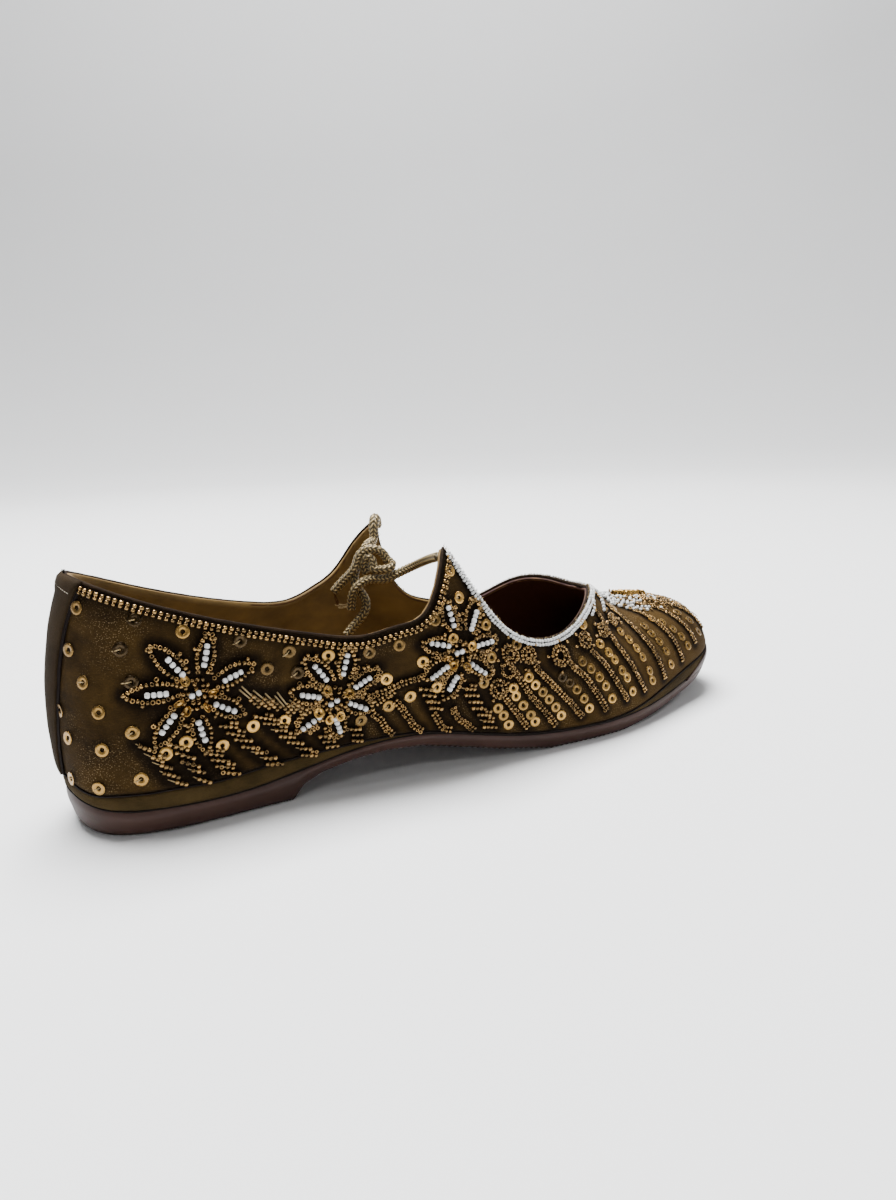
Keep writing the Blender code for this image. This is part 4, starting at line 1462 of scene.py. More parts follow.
def make_flowers(sizes):
    """Seven-petalled flowers: gold bead outlines, white beads within, a beaded middle."""
    rng = random.Random(23)
    gold = bead_shape(sizes, "flower gold")
    white = bead_shape(sizes, "petal white")
    curl = sequin_shape(sizes.sequin, *CURLED_SEQUIN)
    golds, whites, curls = [], [], []
    for side in SIDES:
        for name, around, climb, doubled in FLOWERS:
            middle = (around, climb)
            for petal in PETALS[name]:
                for first, last in ((0.0, 0.5), (0.5, 1.0)):
                    for wider, chance in ((0.0, 1.0), (1.15, doubled)):
                        shares = np.linspace(first + 0.001, last - 0.001, 11)
                        path = [petal_outline(middle, petal, share, wider) for share in shares]
                        row = string_of_beads(
                            gold, side, path, PETAL_PITCH, PETAL_LIFT, rng,
                            wander=0.12, tilt=0.4, facing=0.50,
                        )
                        golds += [bead for bead in row if rng.random() < chance]
                path = [polar(middle, *petal[k : k + 2]) for k in (4, 6)]
                count = max(round(math.dist(*path) / WHITE_SPACE), 3)
                pitch = math.dist(*path) / count * MM
                whites += string_of_beads(
                    white, side, path, pitch, WHITE_LIFT, rng, wander=0.08, tilt=0.10, size=0.06
                )
            for radius, count in FLOWER_RINGS:
                for k in range(count):
                    turn = 360 * (k + rng.random() * 0.6) / count
                    place = polar(middle, turn, radius + rng.uniform(-0.5, 0.5))
                    golds.append(one_bead(gold, side, *place, 0.5 * MM, rng))
            for shift in (-0.95, 0.95):
                whites.append(one_bead(white, side, around + shift, climb + 0.3 * shift, 0.9 * MM, rng, 0.2))
            for turn in CURL_WAYS:
                turn += rng.uniform(-15, 15)
                point, onward, upward, outward = CHART.place(side, *polar(middle, turn, CURL_REACH))
                way = onward * math.cos(math.radians(turn)) + upward * math.sin(math.radians(turn))
                lean = (outward + way.cross(outward) * rng.uniform(-1.6, 1.6)).normalized()
                matrix = standing(point, lean, way)
                matrix.translation = point + outward * 1.1 * MM
                curls.append((curl, matrix, rng.uniform(0.45, 1.0)))
    many_copies("flower_gold_beads", golds, LOOKS["gold"])
    many_copies("flower_white_beads", whites, LOOKS["white"])
    many_copies("flower_curls", curls, LOOKS["sequin"])


# Short columns of white beads that run down from the ridge behind the vamp's first rows.
WHITE_COLUMNS = (
    # around climb
    ((193.9, 46.0), (192.8, 44.2), (191.8, 42.8), (190.6, 40.9), (187.7, 38.6)),
    ((202.0, 46.1), (199.8, 43.8), (198.7, 41.7), (196.5, 38.9)),
    ((210.5, 43.5), (207.5, 40.5)),
)
# Rows of white beads beside the ridge: how far down, where they end, and the share kept.
RIDGE_ROWS = ((0.75, 254.0, 1.0), (2.3, 228.0, 0.75), (3.9, 216.0, 0.5))
FINE_ROWS_FROM = 175.0
# Loose beads beside the ridge: how many on a side, from and to around, and how far down.
RIDGE_FIELD = (230, (202.0, 266.0), (3.0, 17.0))
SCATTER_APART = 1.5
# The share of them that are white, by around.
RIDGE_WHITE_SHARE = ((208, 222, 244), (1.0, 0.8, 0.1))
# A double row's two lines, as shares of the pitch off its middle.
DOUBLE_ROW = (-0.47, 0.47)
# The two lines of beads over a stitch: how far aside, and the counts that one is drawn from.
STITCH_LINES = ((0.0, (3, 4, 4)), (1.25 * MM, (0, 0, 2)))
# How far apart the beads of each kind of row lie along it, and how far off the cloth.
FINE_PITCH = 1.18 * MM
ROW_PITCH = 1.32 * MM
ROW_LIFT = 0.45 * MM
STITCH_PITCH = 1.48 * MM
LONG_STITCH_PITCH = 1.40 * MM
STITCH_LIFT = 0.6 * MM
RING_PITCH = 1.24 * MM
COLUMN_PITCH = 1.7 * MM
RIDGE_PITCH = 1.45 * MM
RIDGE_LIFT = 0.65 * MM


def scattered(rng, count, across, down):
    """Up to count random places in a field, none closer together than SCATTER_APART."""
    places = []
    for _ in range(count * 4):
        place = (rng.uniform(*across), down[0] + (down[1] - down[0]) * rng.random() ** 1.3)
        if len(places) < count and all(math.dist(place, other) > SCATTER_APART for other in places):
            places.append(place)
    return places


def make_bead_rows(sizes):
    """Double rows down the vamp, slanted stitches on the quarter, rosettes, white ridge beads."""
    rng = random.Random(37)
    gold = bead_shape(sizes, "row gold")
    white = bead_shape(sizes, "ridge white")
    large = bead_shape(sizes, "stitch gold")
    small = bead_shape(sizes, "fine gold")
    golds, whites = [], []
    threads = bmesh.new()
    for side in SIDES:
        for row in BEAD_ROWS:
            shape, pitch = (small, FINE_PITCH) if row[0][0] > FINE_ROWS_FROM else (gold, ROW_PITCH)
            for share in DOUBLE_ROW:
                golds += string_of_beads(
                    shape, side, raised(row), pitch, ROW_LIFT, rng,
                    offset=share * pitch, wander=0.12, tilt=0.5, facing=0.50,
                )
        for start, step, run, count in STITCH_COLUMNS:
            for k in range(count):
                one = (start[0] + step[0] * k + rng.uniform(-0.3, 0.3), start[1] + step[1] * k)
                other = (one[0] + run[0], one[1] + run[1] * rng.uniform(0.8, 1.2))
                for offset, kept in STITCH_LINES:
                    beads = string_of_beads(
                        large, side, (one, other), STITCH_PITCH, STITCH_LIFT, rng,
                        offset=offset, wander=0.07, tilt=0.25, facing=0.12,
                    )
                    golds += beads[max(len(beads) - rng.choice(kept), 0) :]
                thread_stitch(threads, side, one, other, 0.16 * MM, 0.6 * MM)
        for one, other in LONG_STITCHES:
            for shift in (-0.4, 0.4):
                shifted = ((one[0] + shift, one[1] + shift), (other[0] + shift, other[1]))
                thread_stitch(threads, side, *shifted, 0.24 * MM, 0.7 * MM)
            for offset, count in ((0.6, 3), (-0.7, 3)):
                beads = string_of_beads(
                    large, side, (one, other), LONG_STITCH_PITCH, STITCH_LIFT, rng,
                    offset=offset * MM, wander=0.1, tilt=0.3,
                )
                golds += beads[-count:]
        for around, climb, rings in ROSETTES:
            climb += fore_rise(around)
            for radius in rings:
                path = [polar((around, climb), turn, radius) for turn in np.linspace(10, 350, 15)]
                golds += string_of_beads(gold, side, path, RING_PITCH, 0.5 * MM, rng, tilt=0.5, facing=0.5)
            for k in range(5):
                place = polar((around, climb), rng.uniform(0, 360), rings[0] + rng.uniform(1.4, 2.6))
                golds.append(one_bead(gold, side, *place, 0.5 * MM, rng))
        for row in WHITE_COLUMNS:
            whites += string_of_beads(white, side, raised(row), COLUMN_PITCH, STITCH_LIFT, rng, wander=0.2)
        start = LINES[side].end / MM + 1.5
        for offset, stop, chance in RIDGE_ROWS:
            path = [(a, CHART.total(a) - offset) for a in np.linspace(start, stop, 24)]
            row = string_of_beads(
                white, side, path, RIDGE_PITCH, RIDGE_LIFT, rng, wander=0.25, tilt=0.5, size=0.16
            )
            whites += [bead for bead in row if rng.random() < chance]
        for around, depth in scattered(rng, *RIDGE_FIELD):
            if CHART.total(around) - depth > top_climb(side, around) - 1.0:
                continue
            place = (side, around, CHART.total(around) - depth, 0.55 * MM, rng)
            if rng.random() < np.interp(around, *RIDGE_WHITE_SHARE):
                whites.append(one_bead(white, *place))
            else:
                golds.append(one_bead(gold, *place))
    many_copies("row_beads", golds, LOOKS["gold"])
    many_copies("vamp_white_beads", whites, LOOKS["white"])
    finish_piece("bead_threads", threads, [LOOKS["gold_thread"]])


# Upright sequins beside the ridge: from and to around, and their pitch.
RIDGE_SEQUINS = (228.0, 264.0, 2.3)


def make_sequins(sizes):
    """Ring sequins: lone ones on the quarter and wings, rows of them down the vamp."""
    rng = random.Random(53)
    plain = sequin_shape(sizes.sequin, *PLAIN_SEQUIN)
    copies = []
    threads = bmesh.new()
    for side in SIDES:
        for around, climb, shade in raised(LONE_SEQUINS):
            # The shade, squared, gives this sequin's painted reflection as its tone.
            copies.append((plain, sequin_matrix(side, around, climb, rng, 0.10), shade**2))
            dull = shade <= 0.2
            if dull or rng.random() < 0.45:
                out = rng.uniform(2.0, 2.6) if dull else rng.uniform(1.4, 2.0)
                stitch = (around - out, climb - rng.uniform(0.2, 1.0))
                thread_stitch(threads, side, (around, climb), stitch, 0.20 * MM, 0.6 * MM)
        for row in SEQUIN_ROWS:
            row = raised(row)
            for k, (around, climb, shade) in enumerate(row):
                ahead = row[min(k + 1, len(row) - 1)]
                behind = row[max(k - 1, 0)]
                matrix = sequin_matrix(side, around, climb, rng, 0.06)
                _, onward, upward, outward = CHART.place(side, around, climb)
                way = (onward * (ahead[0] - behind[0]) + upward * (ahead[1] - behind[1])).normalized()
                tip = Matrix.Rotation(-0.10, 4, outward.cross(way))
                place = matrix.translation.copy()
                matrix = Matrix.Translation(place) @ tip @ Matrix.Translation(-place) @ matrix
                # The shade, to the power 1.5, gives this sequin's painted reflection as its tone.
                copies.append((plain, matrix @ Matrix.Scale(0.92, 4), shade**1.5))
        for around in np.arange(*RIDGE_SEQUINS):
            point, onward, upward, outward = CHART.place(side, around, CHART.total(around) - 1.2)
            lean = (onward + upward * rng.uniform(-0.9, 0.9) + outward * rng.uniform(-0.5, 0.5)).normalized()
            matrix = standing(point + outward * 1.1 * MM, lean, outward)
            copies.append((plain, matrix @ Matrix.Scale(0.75, 4), rng.uniform(0.4, 1.0)))
    many_copies("sequins", copies, LOOKS["sequin"])
    finish_piece("sequin_threads", threads, [LOOKS["gold_thread"]])


def sequin_matrix(side, around, climb, rng, tilt):
    """A sequin's matrix on the cloth, leaning a little at random."""
    point, onward, upward, outward = CHART.place(side, around, climb)
    lean = outward + onward * rng.uniform(-tilt, tilt) + upward * rng.uniform(-tilt, tilt)
    lifted = Matrix.Translation((0, 0, rng.uniform(0.25, 0.45) * MM))
    return standing(point, lean.normalized(), upward) @ lifted


# ---------------------------------------------------------------- the tie
# Routes of the three cords, in millimetres from the knot's middle, square to the way the
# knot faces: right, up and back.
KNOT_CENTRE = Vector((0.1128 - MIDDLE, 0.0106, 0.0616))
KNOT_RIGHT = Vector((0.859, -0.510, -0.037))
KNOT_UP = Vector((0.139, 0.163, 0.977))
KNOT_BACK = Vector((0.492, 0.845, -0.210))
CROSSING_ROUTE = (
    # right   up   back
    (9.6, -1.5, 0.3), (7.0, -2.8, 0.2), (4.4, -3.8, -0.3), (1.4, -3.8, -1.0),
    (-1.8, -4.2, -1.6), (-4.4, -5.9, -1.9),
    (-6.4, -8.6, -1.2), (-7.2, -11.8, 0.2), (-7.4, -14.4, 1.0),
)
HANGING_ROUTE = (
    (-2.0, 8.6, 4.2), (-3.6, 5.2, 2.8), (-5.2, 1.6, 2.0), (-6.2, -2.2, 1.4),
    (-6.0, -5.2, 1.2), (-4.2, -8.2, 1.6),
    (-2.4, -11.2, 1.2), (-2.4, -14.6, 0.6), (-4.4, -17.8, 0.4), (-7.4, -21.4, 0.2), (-9.0, -23.6, 0.0),
)
LOOP_ROUTE = (
    (-2.0, -1.6, 0.6), (-2.8, 1.6, -0.4), (-1.4, 3.9, -1.2), (0.2, 2.2, -1.4), (0.6, -0.3, -1.6),
    (3.4, -0.5, -1.8), (6.2, 0.0, -0.8), (6.9, 1.5, 0.4), (5.4, 2.9, 0.8),
    (4.2, 4.6, 0.4), (1.6, 6.4, -0.6), (-1.8, 6.4, -0.9), (-4.4, 4.4, -0.8), (-5.5, 1.4, -0.6),
    (-7.0, -1.2, -0.3), (-9.8, -4.0, 0.6), (-13.6, -8.2, 1.6),
)
# The braid: plaits in columns round the cord, leaning one way and the other by turns.
PLAIT_COLUMNS = 8
PLAIT_PITCH = 1.4
PLAIT_DEPTH = 0.00042
CORD_STEP = 0.28
CORD_SIDES = 30
# Loose threads: their radii, and how many make the fuzz on one side of the throat.
BROWN_THREAD = 0.14 * MM
PALE_THREAD = 0.12 * MM
HEEL_THREAD = 0.10 * MM
FUZZ_THREAD = 0.055 * MM
FUZZ_THREADS = 520


def path_length(points):
    """How long the line through the points is."""
    return sum((b - a).length for a, b in zip(points, points[1:]))


def knot_place(right, up, back):
    """A place so many millimetres from the knot's middle."""
    return KNOT_CENTRE + (KNOT_RIGHT * right + KNOT_UP * up + KNOT_BACK * back) * MM


def wing_tip(side, drop):
    """(point, outward) just under the tip of a wing."""
    around = LINES[side].peak / MM
    point, _, _, outward = CHART.place(side, around, top_climb(side, around) - drop)
    return point, outward


def braid_relief(run, turn):
    """How far a plait stands out at that run in millimetres and turn round the cord, 0 to 1."""
    column = turn * PLAIT_COLUMNS / (2 * math.pi)
    across = column - math.floor(column) - 0.5
    hand = 1 if math.floor(column) % 2 else -1
    phase = 2 * math.pi * (run / PLAIT_PITCH + hand * across * 0.85)
    return (0.5 + 0.5 * math.cos(phase)) ** 0.6 * (1 - 2.4 * across**2)


def make_tie(sizes):
    """Two strands from the wings, knotted, with a loop and its ends."""
    near, near_out = wing_tip(-1, 1.9)
    crossing = [near - near_out * (WALL + 0.9 * MM)]
    crossing += [knot_place(*row) for row in CROSSING_ROUTE]
    far, far_out = wing_tip(1, 0.0)
    peak = LINES[1].peak / MM
    over = CHART.place(1, peak + 1.6, top_climb(1, peak) - 4.0)
    hanging = [
        over[0] + over[3] * 1.4 * MM,
        far + Vector((0.2, 0, -0.6)) * MM + far_out * 1.0 * MM,
        far - far_out * 2.2 * MM - Vector((0.4, 0, 0.9)) * MM,
        far - far_out * 4.0 * MM - Vector((0.9, 0, 4.6)) * MM,
    ]
    hanging += [knot_place(*row) for row in HANGING_ROUTE]
    loop = [knot_place(*row) for row in LOOP_ROUTE]
    for name, points, wider, nodes in (
        ("tie_crossing", crossing, 0.0, ("tie_strand_right", "tie_end_down")),
        ("tie_hanging", hanging, 0.35, ("tie_strand_left",)),
        ("tie_bow", loop, 0.0, ("tie_knot", "tie_loop", "tie_end_back")),
    ):
        path = [Vector(p) for p in route(points, int(path_length(points) / (CORD_STEP * MM)))]
        length = path_length(path)
        bm = bmesh.new()
        radius = sizes.cord / 2
        width = lambda share: radius * (1 + wider * max(1 - share / 0.2, 0) ** 0.5)
        tube(bm, path, width, sides=CORD_SIDES, relief=braid_relief)
        piece = finish_piece(name, bm, [LOOKS["braid"]], nodes)


def make_frays():
    """Thin unravelled threads at the tie's ends and the heel's top, and fuzz on the edges."""
    rng = random.Random(71)
    pale, brown, dark = bmesh.new(), bmesh.new(), bmesh.new()
    for _ in range(4):
        points = [knot_place(-13.2 + rng.uniform(-0.5, 0.5), -8.6, 1.6)]
        for _ in range(5):
            step = Vector((rng.uniform(0.1, 0.6), rng.uniform(0.0, 0.4), -rng.uniform(0.8, 1.2)))
            points.append(points[-1] + step * MM)
        tube(brown, route(points, 9), BROWN_THREAD, sides=5)
    for _ in range(6):
        points = [knot_place(-7.4 + rng.uniform(-0.6, 0.6), -13.6 + rng.uniform(-0.6, 0.6), 0.9)]
        for _ in range(4):
            points.append(
                points[-1] + (KNOT_RIGHT * -rng.uniform(1.0, 1.6) + KNOT_UP * rng.uniform(-0.5, 0.6)) * MM
            )
        tube(pale, route(points, 9), PALE_THREAD, sides=5)
    point, _, _, outward = CHART.place(-1, 1.5, top_climb(-1, 1.5))
    for _ in range(5):
        way = Vector((rng.uniform(-0.3, 0.3), rng.uniform(-0.3, 0.3), 1.0))
        tube(dark, [point, point + way * 0.8 * MM, point + way * 1.5 * MM], HEEL_THREAD, sides=5)
    for side in SIDES:
        peak = LINES[side].peak / MM
        for _ in range(FUZZ_THREADS):
            around = throat_arounds(side, rng.random() ** 1.5)
            point, onward, upward, outward = CHART.place(side, around, top_climb(side, around) - 0.2)
            way = onward * rng.uniform(-0.3, 1.0) + upward * rng.uniform(0.0, 1.0)
            way += outward * rng.uniform(-0.3, 0.6)
            way.normalize()
            reach = rng.uniform(0.6, 1.5) * (1.0 if around < peak + 16 else 0.6) * MM
            tube(
                dark if rng.random() < 0.55 else pale,
                [point, point + way * reach * 0.6, point + way * reach + outward * 0.2 * MM],
                FUZZ_THREAD,
                sides=3,
            )
    finish_piece("frays_pale", pale, [LOOKS["gold_thread"]])
    finish_piece("frays_brown", brown, [LOOKS["brown_thread"]])
    finish_piece("frays_dark", dark, [LOOKS["dark_thread"]])


# The fine tooth of the sole's lower edge: pitch and depth in millimetres.
HEEL_TOOTH = (0.87, 0.40)
FOREPART_TOOTH = (2.0, 0.20)
SOLE_ROWS = 12


def make_sole():
    """The moulded sole: swelling side, breasted heel, toe spring and a ridged tread."""
    heights = natural_spline([row[1] * LENGTH for row in LAST], [row[3] * HEEL_HEIGHT for row in LAST])
    breast = solve(lambda p: rib(p)[0][0][0] - TREAD[1][0] * LENGTH, 0.0, HALF_OUTLINE)
    corners = [
        solve(lambda p, x=row[0] * LENGTH: rib(p)[0][0][0] - x, 0.0, HALF_OUTLINE) for row in TREAD[1:-1]
    ]
    heel = np.arange(0, breast, HEEL_TOOTH[0] / 4 * MM)
    fore = np.arange(breast, HALF_OUTLINE, FOREPART_TOOTH[0] / 4 * MM)
    stations = np.array(sorted([*heel, *fore, *corners, HALF_OUTLINE]))
    stations = stations[np.concatenate([[True], np.diff(stations) > 0.02 * MM])]
    count, rows = len(stations) - 1, SOLE_ROWS
    inset_of = natural_spline(*zip(*SOLE_SIDE))
    columns = []
    for run in stations:
        ends, out = rib(run)
        share_fore = np.interp(ends[0][0] / LENGTH, [0.30, 0.55], [1, FOREPART_INSET])
        pitch, depth = HEEL_TOOTH if run < breast else FOREPART_TOOTH
        tooth = depth * MM * (0.5 - 0.5 * math.cos(2 * math.pi * run / (pitch * MM)))
        column = []
        for down in np.linspace(0, 1, rows + 1):
            x, y, _ = ends[0] - out * float(inset_of(down)) * share_fore
            top = float(heights(x))
            tread = float(np.interp(x, [row[0] * LENGTH for row in TREAD], [row[1] for row in TREAD]))
            z = top + (tread - top) * down + tooth * max((down - 0.9) / 0.1, 0.0)
            column.append(Vector((x - MIDDLE, y, z)))
        columns.append(column)
    bm = bmesh.new()

    def side_place(a, b):
        k = round(a * 2 * count)
        point = columns[k if k <= count else 2 * count - k][round(b * rows)]
        return point if k <= count else Vector((point.x, -point.y, point.z))

    lay_grid(bm, 2 * count, rows, side_place)
    for row in (0, rows):
        def flat_place(a, b):
            point = columns[round(a * count)][row]
            return Vector((point.x, point.y * (1 - 2 * b), point.z))

        lay_grid(bm, count, 1, flat_place)
    weld(bm)
    bmesh.ops.recalc_face_normals(bm, faces=bm.faces)
    finish_piece("sole", bm, [LOOKS["rubber"]], ("outsole",), sharp=50)


# The rubber that rises over the band round the toe: around and climb of its upper edge.
TOE_RUBBER = ((236.0, 240.0, 247.0, 256.0, 262.0), (0.10, 1.4, 3.0, 4.5, 4.6))
TOE_RUBBER_THICKNESS = 0.0006


def make_toe_rubber():
    """The sole's edge carried up over the band at the toe."""
    start = TOE_RUBBER[0][0]
    reach = AROUND_ALL - start
    bm = bmesh.new()

    def place(a, b):
        side = 1 if a <= 0.5 else -1
        around = start + reach * (1 - abs(2 * a - 1))
        top = min(float(np.interp(around, *TOE_RUBBER)), float(band_line(around)) + 0.1)
        point, _, _, outward = CHART.place(side, around, 0.05 + (top - 0.05) * b)
        return point + outward * (0.35 + 0.25 * math.sin(math.pi * b)) * MM

    lay_grid(bm, 120, 6, place)
    weld(bm)
    face_out(bm, Vector((0.2, 1, 0)))
    piece = finish_piece("toe_rubber", bm, [LOOKS["rubber"]])
    thicken(piece, TOE_RUBBER_THICKNESS)


def finish_sole():
    """The footbed's leather and the dark seams over and under the band."""
    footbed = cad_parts["insole"].data
    footbed.materials.clear()
    footbed.materials.append(LOOKS["footbed"])
    seams = bmesh.new()
    for climb_of, radius in ((lambda a: float(band_line(a)), 0.30), (lambda _: 0.05, 0.26)):
        halves = []
        for side in SIDES:
            points = []
            for around in np.linspace(0, AROUND_ALL, 280):
                point, _, _, outward = CHART.place(side, around, climb_of(around))
                wave = 0.12 * noise.noise(point * 260)
                points.append(point + outward * (wave - 0.22) * MM)
            halves.append(points)
        ring = halves[0] + halves[1][::-1][1:-1]
        tube(seams, ring + ring[:1], radius * MM, sides=6)
    finish_piece("seam_threads", seams, [LOOKS["dark_thread"]])


# ---------------------------------------------------------------- the studio
CAMERA_PLACE = Vector((-0.0206 - MIDDLE, -0.2700, 0.1158))
CAMERA_TURN = 30.23
CAMERA_DIP = 12.14
CAMERA_ROLL = -2.19
CAMERA_LENS = 27.03


def make_camera():
    """The camera, turned and dipped towards the shoe and rolled a little."""
    data = bpy.data.cameras.new("studio_camera")
    data.lens = CAMERA_LENS
    data.sensor_width = 36.0
    data.clip_start = 0.01
    data.clip_end = 20.0
    camera = bpy.data.objects.new("studio_camera", data)
    bpy.context.scene.collection.objects.link(camera)
    turn, dip, roll = (math.radians(d) for d in (CAMERA_TURN, CAMERA_DIP, CAMERA_ROLL))
    right = Vector((math.cos(turn), -math.sin(turn), 0))
    ahead = Vector((math.sin(turn) * math.cos(dip), math.cos(turn) * math.cos(dip), -math.sin(dip)))
    up = right.cross(ahead)
    x = right * math.cos(roll) + up * math.sin(roll)
    y = up * math.cos(roll) - right * math.sin(roll)
    camera.matrix_world = Matrix.Translation(CAMERA_PLACE) @ Matrix((x, y, -ahead)).transposed().to_4x4()
    bpy.context.scene.camera = camera


# Lights: place, aim and size in metres, and power in watts.
LIGHTS = (
    ("key_light", (0.00, 0.38, 1.35), (0.05, 0.10, 0.0), (1.0, 0.8), 84.0),
    ("front_light", (-0.50, -0.85, 1.00), (0, 0, 0.03), (0.16, 0.14), 2.2),
    ("toe_light", (0.80, -0.40, 0.85), (0.05, 0, 0.03), (0.14, 0.14), 1.5),
    ("backdrop_light", (0.85, 1.45, 2.40), (1.75, 3.05, 0.75), (1.8, 0.7), 52.0),
)
SKY_COLOUR = (0.95, 0.965, 0.97, 1)
SKY_STRENGTH = 0.03
# The floor: flat so far out, then up round the bend to the top; it lies just under the sole.
FLOOR_FLAT = 1.3
BACKDROP_BEND = 1.9
BACKDROP_TOP = 2.0
FLOOR_DROP = 0.0001


def area_light(name, place, target, size, power):
    """A rectangular light at the place, aimed at the target."""
    data = bpy.data.lights.new(name, "AREA")
    data.shape = "RECTANGLE"
    data.size, data.size_y = size
    data.energy = power
    light = bpy.data.objects.new(name, data)
    light.location = place
    light.rotation_euler = (Vector(target) - Vector(place)).to_track_quat("-Z", "Y").to_euler()
    bpy.context.scene.collection.objects.link(light)


def make_stage():
    """A pale floor that turns up into a round backdrop, soft lights and a pale sky."""
    profile = [(0.0, 0.0), (0.5, 0.0), (FLOOR_FLAT, 0.0)]
    for turn in np.linspace(0, math.pi / 2, 12)[1:]:
        out = FLOOR_FLAT + BACKDROP_BEND * math.sin(turn)
        profile.append((out, BACKDROP_BEND - BACKDROP_BEND * math.cos(turn)))
    profile.append((FLOOR_FLAT + BACKDROP_BEND, BACKDROP_TOP))
    bm = bmesh.new()
    spin_profile(bm, [(out, height - FLOOR_DROP) for out, height in profile], 72, closed=False)
    bmesh.ops.remove_doubles(bm, verts=bm.verts, dist=1e-6)
    bmesh.ops.recalc_face_normals(bm, faces=bm.faces)
    bm.faces.ensure_lookup_table()
    lowest = min(bm.faces, key=lambda face: face.calc_center_median().z)
    if lowest.normal.z < 0:
        bmesh.ops.reverse_faces(bm, faces=bm.faces)
    mesh = bpy.data.meshes.new("studio_floor")
    bm.to_mesh(mesh)
    bm.free()
    mesh.materials.append(LOOKS["floor"])
    mesh.shade_smooth()
    floor = bpy.data.objects.new("studio_floor", mesh)
    bpy.context.scene.collection.objects.link(floor)
    world = bpy.data.worlds.new("studio_sky")
    world.use_nodes = True
    sky = world.node_tree.nodes["Background"]
    sky.inputs["Color"].default_value = SKY_COLOUR
    sky.inputs["Strength"].default_value = SKY_STRENGTH
    bpy.context.scene.world = world
    for light in LIGHTS:
        area_light(*light)


# ---------------------------------------------------------------- operators
def prepared(context):
    """The sizes set in the scene, once the materials are made from its colours."""
    if not LOOKS:
        make_looks(context.scene.shoe_colours)
    return context.scene.shoe_sizes


class SHOE_OT_camera(bpy.types.Operator):
    """Place the camera"""

    bl_idname = "shoe.camera"
    bl_label = "Camera"
    bl_options = {"REGISTER", "UNDO"}

    def execute(self, context):
        make_camera()
        return {"FINISHED"}


class SHOE_OT_tie(bpy.types.Operator):
    """Tie the wings with the braided cord"""

    bl_idname = "shoe.tie"
    bl_label = "Tie"
    bl_options = {"REGISTER", "UNDO"}

    def execute(self, context):
        make_tie(prepared(context))
        return {"FINISHED"}


class SHOE_OT_upper(bpy.types.Operator):
    """Lay the cloth, the lining and their edges on the last"""

    bl_idname = "shoe.upper"
    bl_label = "Upper"
    bl_options = {"REGISTER", "UNDO"}

    def execute(self, context):
        sizes = prepared(context)
        make_upper_cloth(sizes)
        make_lining(sizes)
        make_edges()
        return {"FINISHED"}


class SHOE_OT_band(bpy.types.Operator):
    """Lay the cloth band over the sole and the strip over the heel seam"""

    bl_idname = "shoe.band"
    bl_label = "Band and back stay"
    bl_options = {"REGISTER", "UNDO"}

    def execute(self, context):
        prepared(context)
        make_band()
        make_back_stay()
        return {"FINISHED"}


class SHOE_OT_sole(bpy.types.Operator):
    """Finish the sole, the footbed and the seams round them"""

    bl_idname = "shoe.sole"
    bl_label = "Sole"
    bl_options = {"REGISTER", "UNDO"}

    def execute(self, context):
        prepared(context)
        make_sole()
        make_toe_rubber()
        finish_sole()
        return {"FINISHED"}


class SHOE_OT_edge_beads(bpy.types.Operator):
    """Bead the collar and the throat"""

    bl_idname = "shoe.edge_beads"
    bl_label = "Edge beads"
    bl_options = {"REGISTER", "UNDO"}

    def execute(self, context):
        make_edge_beads(prepared(context))
        return {"FINISHED"}


class SHOE_OT_flowers(bpy.types.Operator):
    """Embroider the flowers"""

    bl_idname = "shoe.flowers"
    bl_label = "Flowers"
    bl_options = {"REGISTER", "UNDO"}

    def execute(self, context):
        make_flowers(prepared(context))
        return {"FINISHED"}


class SHOE_OT_bead_rows(bpy.types.Operator):
    """Embroider the rows, stitches and rosettes of beads"""

    bl_idname = "shoe.bead_rows"
    bl_label = "Bead rows"
    bl_options = {"REGISTER", "UNDO"}

    def execute(self, context):
        make_bead_rows(prepared(context))
        return {"FINISHED"}


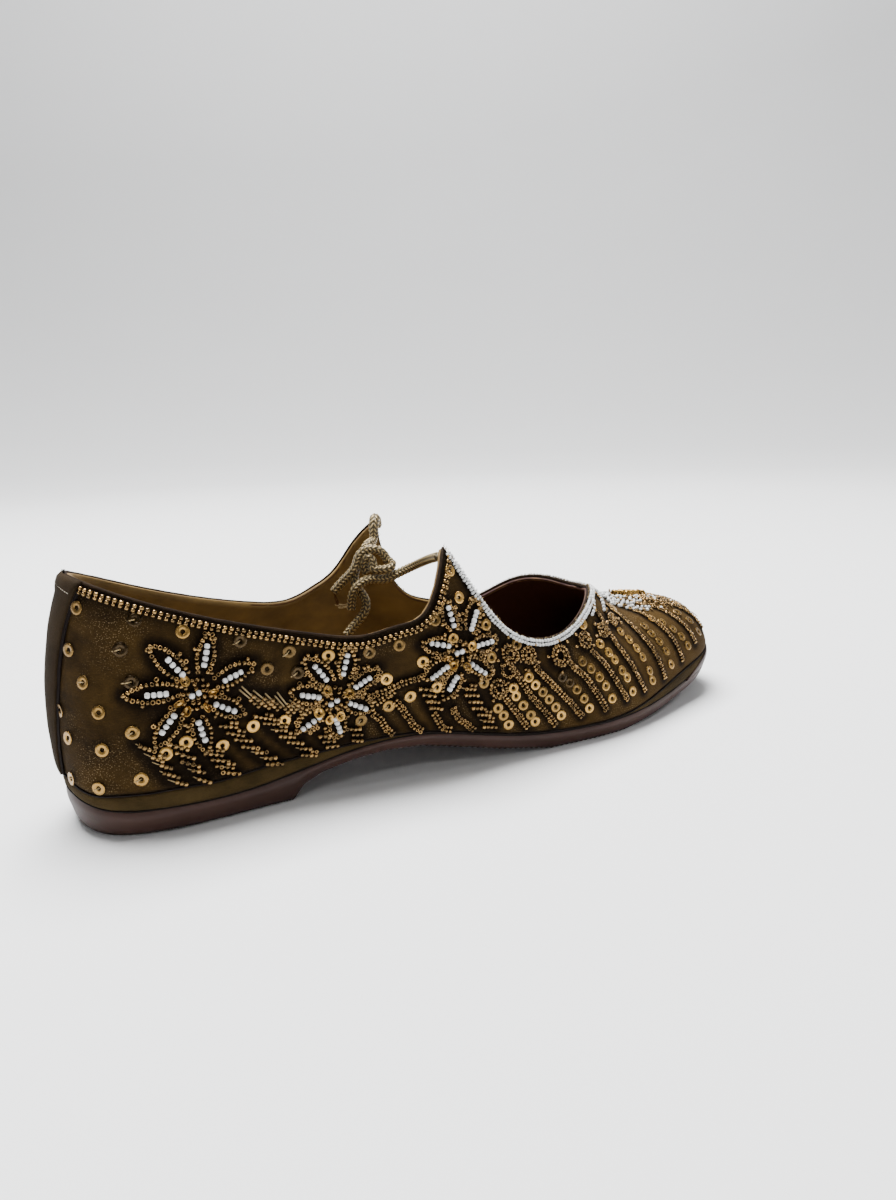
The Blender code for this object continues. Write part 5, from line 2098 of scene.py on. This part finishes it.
class SHOE_OT_sequins(bpy.types.Operator):
    """Sew on the sequins"""

    bl_idname = "shoe.sequins"
    bl_label = "Sequins"
    bl_options = {"REGISTER", "UNDO"}

    def execute(self, context):
        make_sequins(prepared(context))
        return {"FINISHED"}


class SHOE_OT_frays(bpy.types.Operator):
    """Add loose threads and the fuzz of cut edges"""

    bl_idname = "shoe.frays"
    bl_label = "Loose threads"
    bl_options = {"REGISTER", "UNDO"}

    def execute(self, context):
        prepared(context)
        make_frays()
        return {"FINISHED"}


class SHOE_OT_stage(bpy.types.Operator):
    """Set the floor and the lights"""

    bl_idname = "shoe.stage"
    bl_label = "Stage"
    bl_options = {"REGISTER", "UNDO"}

    def execute(self, context):
        prepared(context)
        make_stage()
        return {"FINISHED"}


OPERATORS = (
    SHOE_OT_camera,
    SHOE_OT_tie,
    SHOE_OT_upper,
    SHOE_OT_band,
    SHOE_OT_sole,
    SHOE_OT_edge_beads,
    SHOE_OT_flowers,
    SHOE_OT_bead_rows,
    SHOE_OT_sequins,
    SHOE_OT_frays,
    SHOE_OT_stage,
)


class SHOE_PT_panel(bpy.types.Panel):
    """Lists the pieces with the sizes and colours they use"""

    bl_idname = "SHOE_PT_panel"
    bl_label = "Bridal shoe"
    bl_space_type = "VIEW_3D"
    bl_region_type = "UI"
    bl_category = "Shoe"

    def draw(self, context):
        for group in (context.scene.shoe_sizes, context.scene.shoe_colours):
            column = self.layout.column(align=True)
            for name in group.bl_rna.properties.keys():
                if name not in ("rna_type", "name"):
                    column.prop(group, name)
        for operator in OPERATORS:
            self.layout.operator(operator.bl_idname)


CLASSES = (ShoeSizes, ShoeColours, *OPERATORS, SHOE_PT_panel)


def register():
    for made in CLASSES:
        bpy.utils.register_class(made)
    bpy.types.Scene.shoe_sizes = bpy.props.PointerProperty(type=ShoeSizes)
    bpy.types.Scene.shoe_colours = bpy.props.PointerProperty(type=ShoeColours)


def unregister():
    del bpy.types.Scene.shoe_colours
    del bpy.types.Scene.shoe_sizes
    for made in reversed(CLASSES):
        bpy.utils.unregister_class(made)


def main():
    register()
    for operator in OPERATORS:
        group, name = operator.bl_idname.split(".")
        getattr(getattr(bpy.ops, group), name)()


if __name__ == "__main__":
    main()
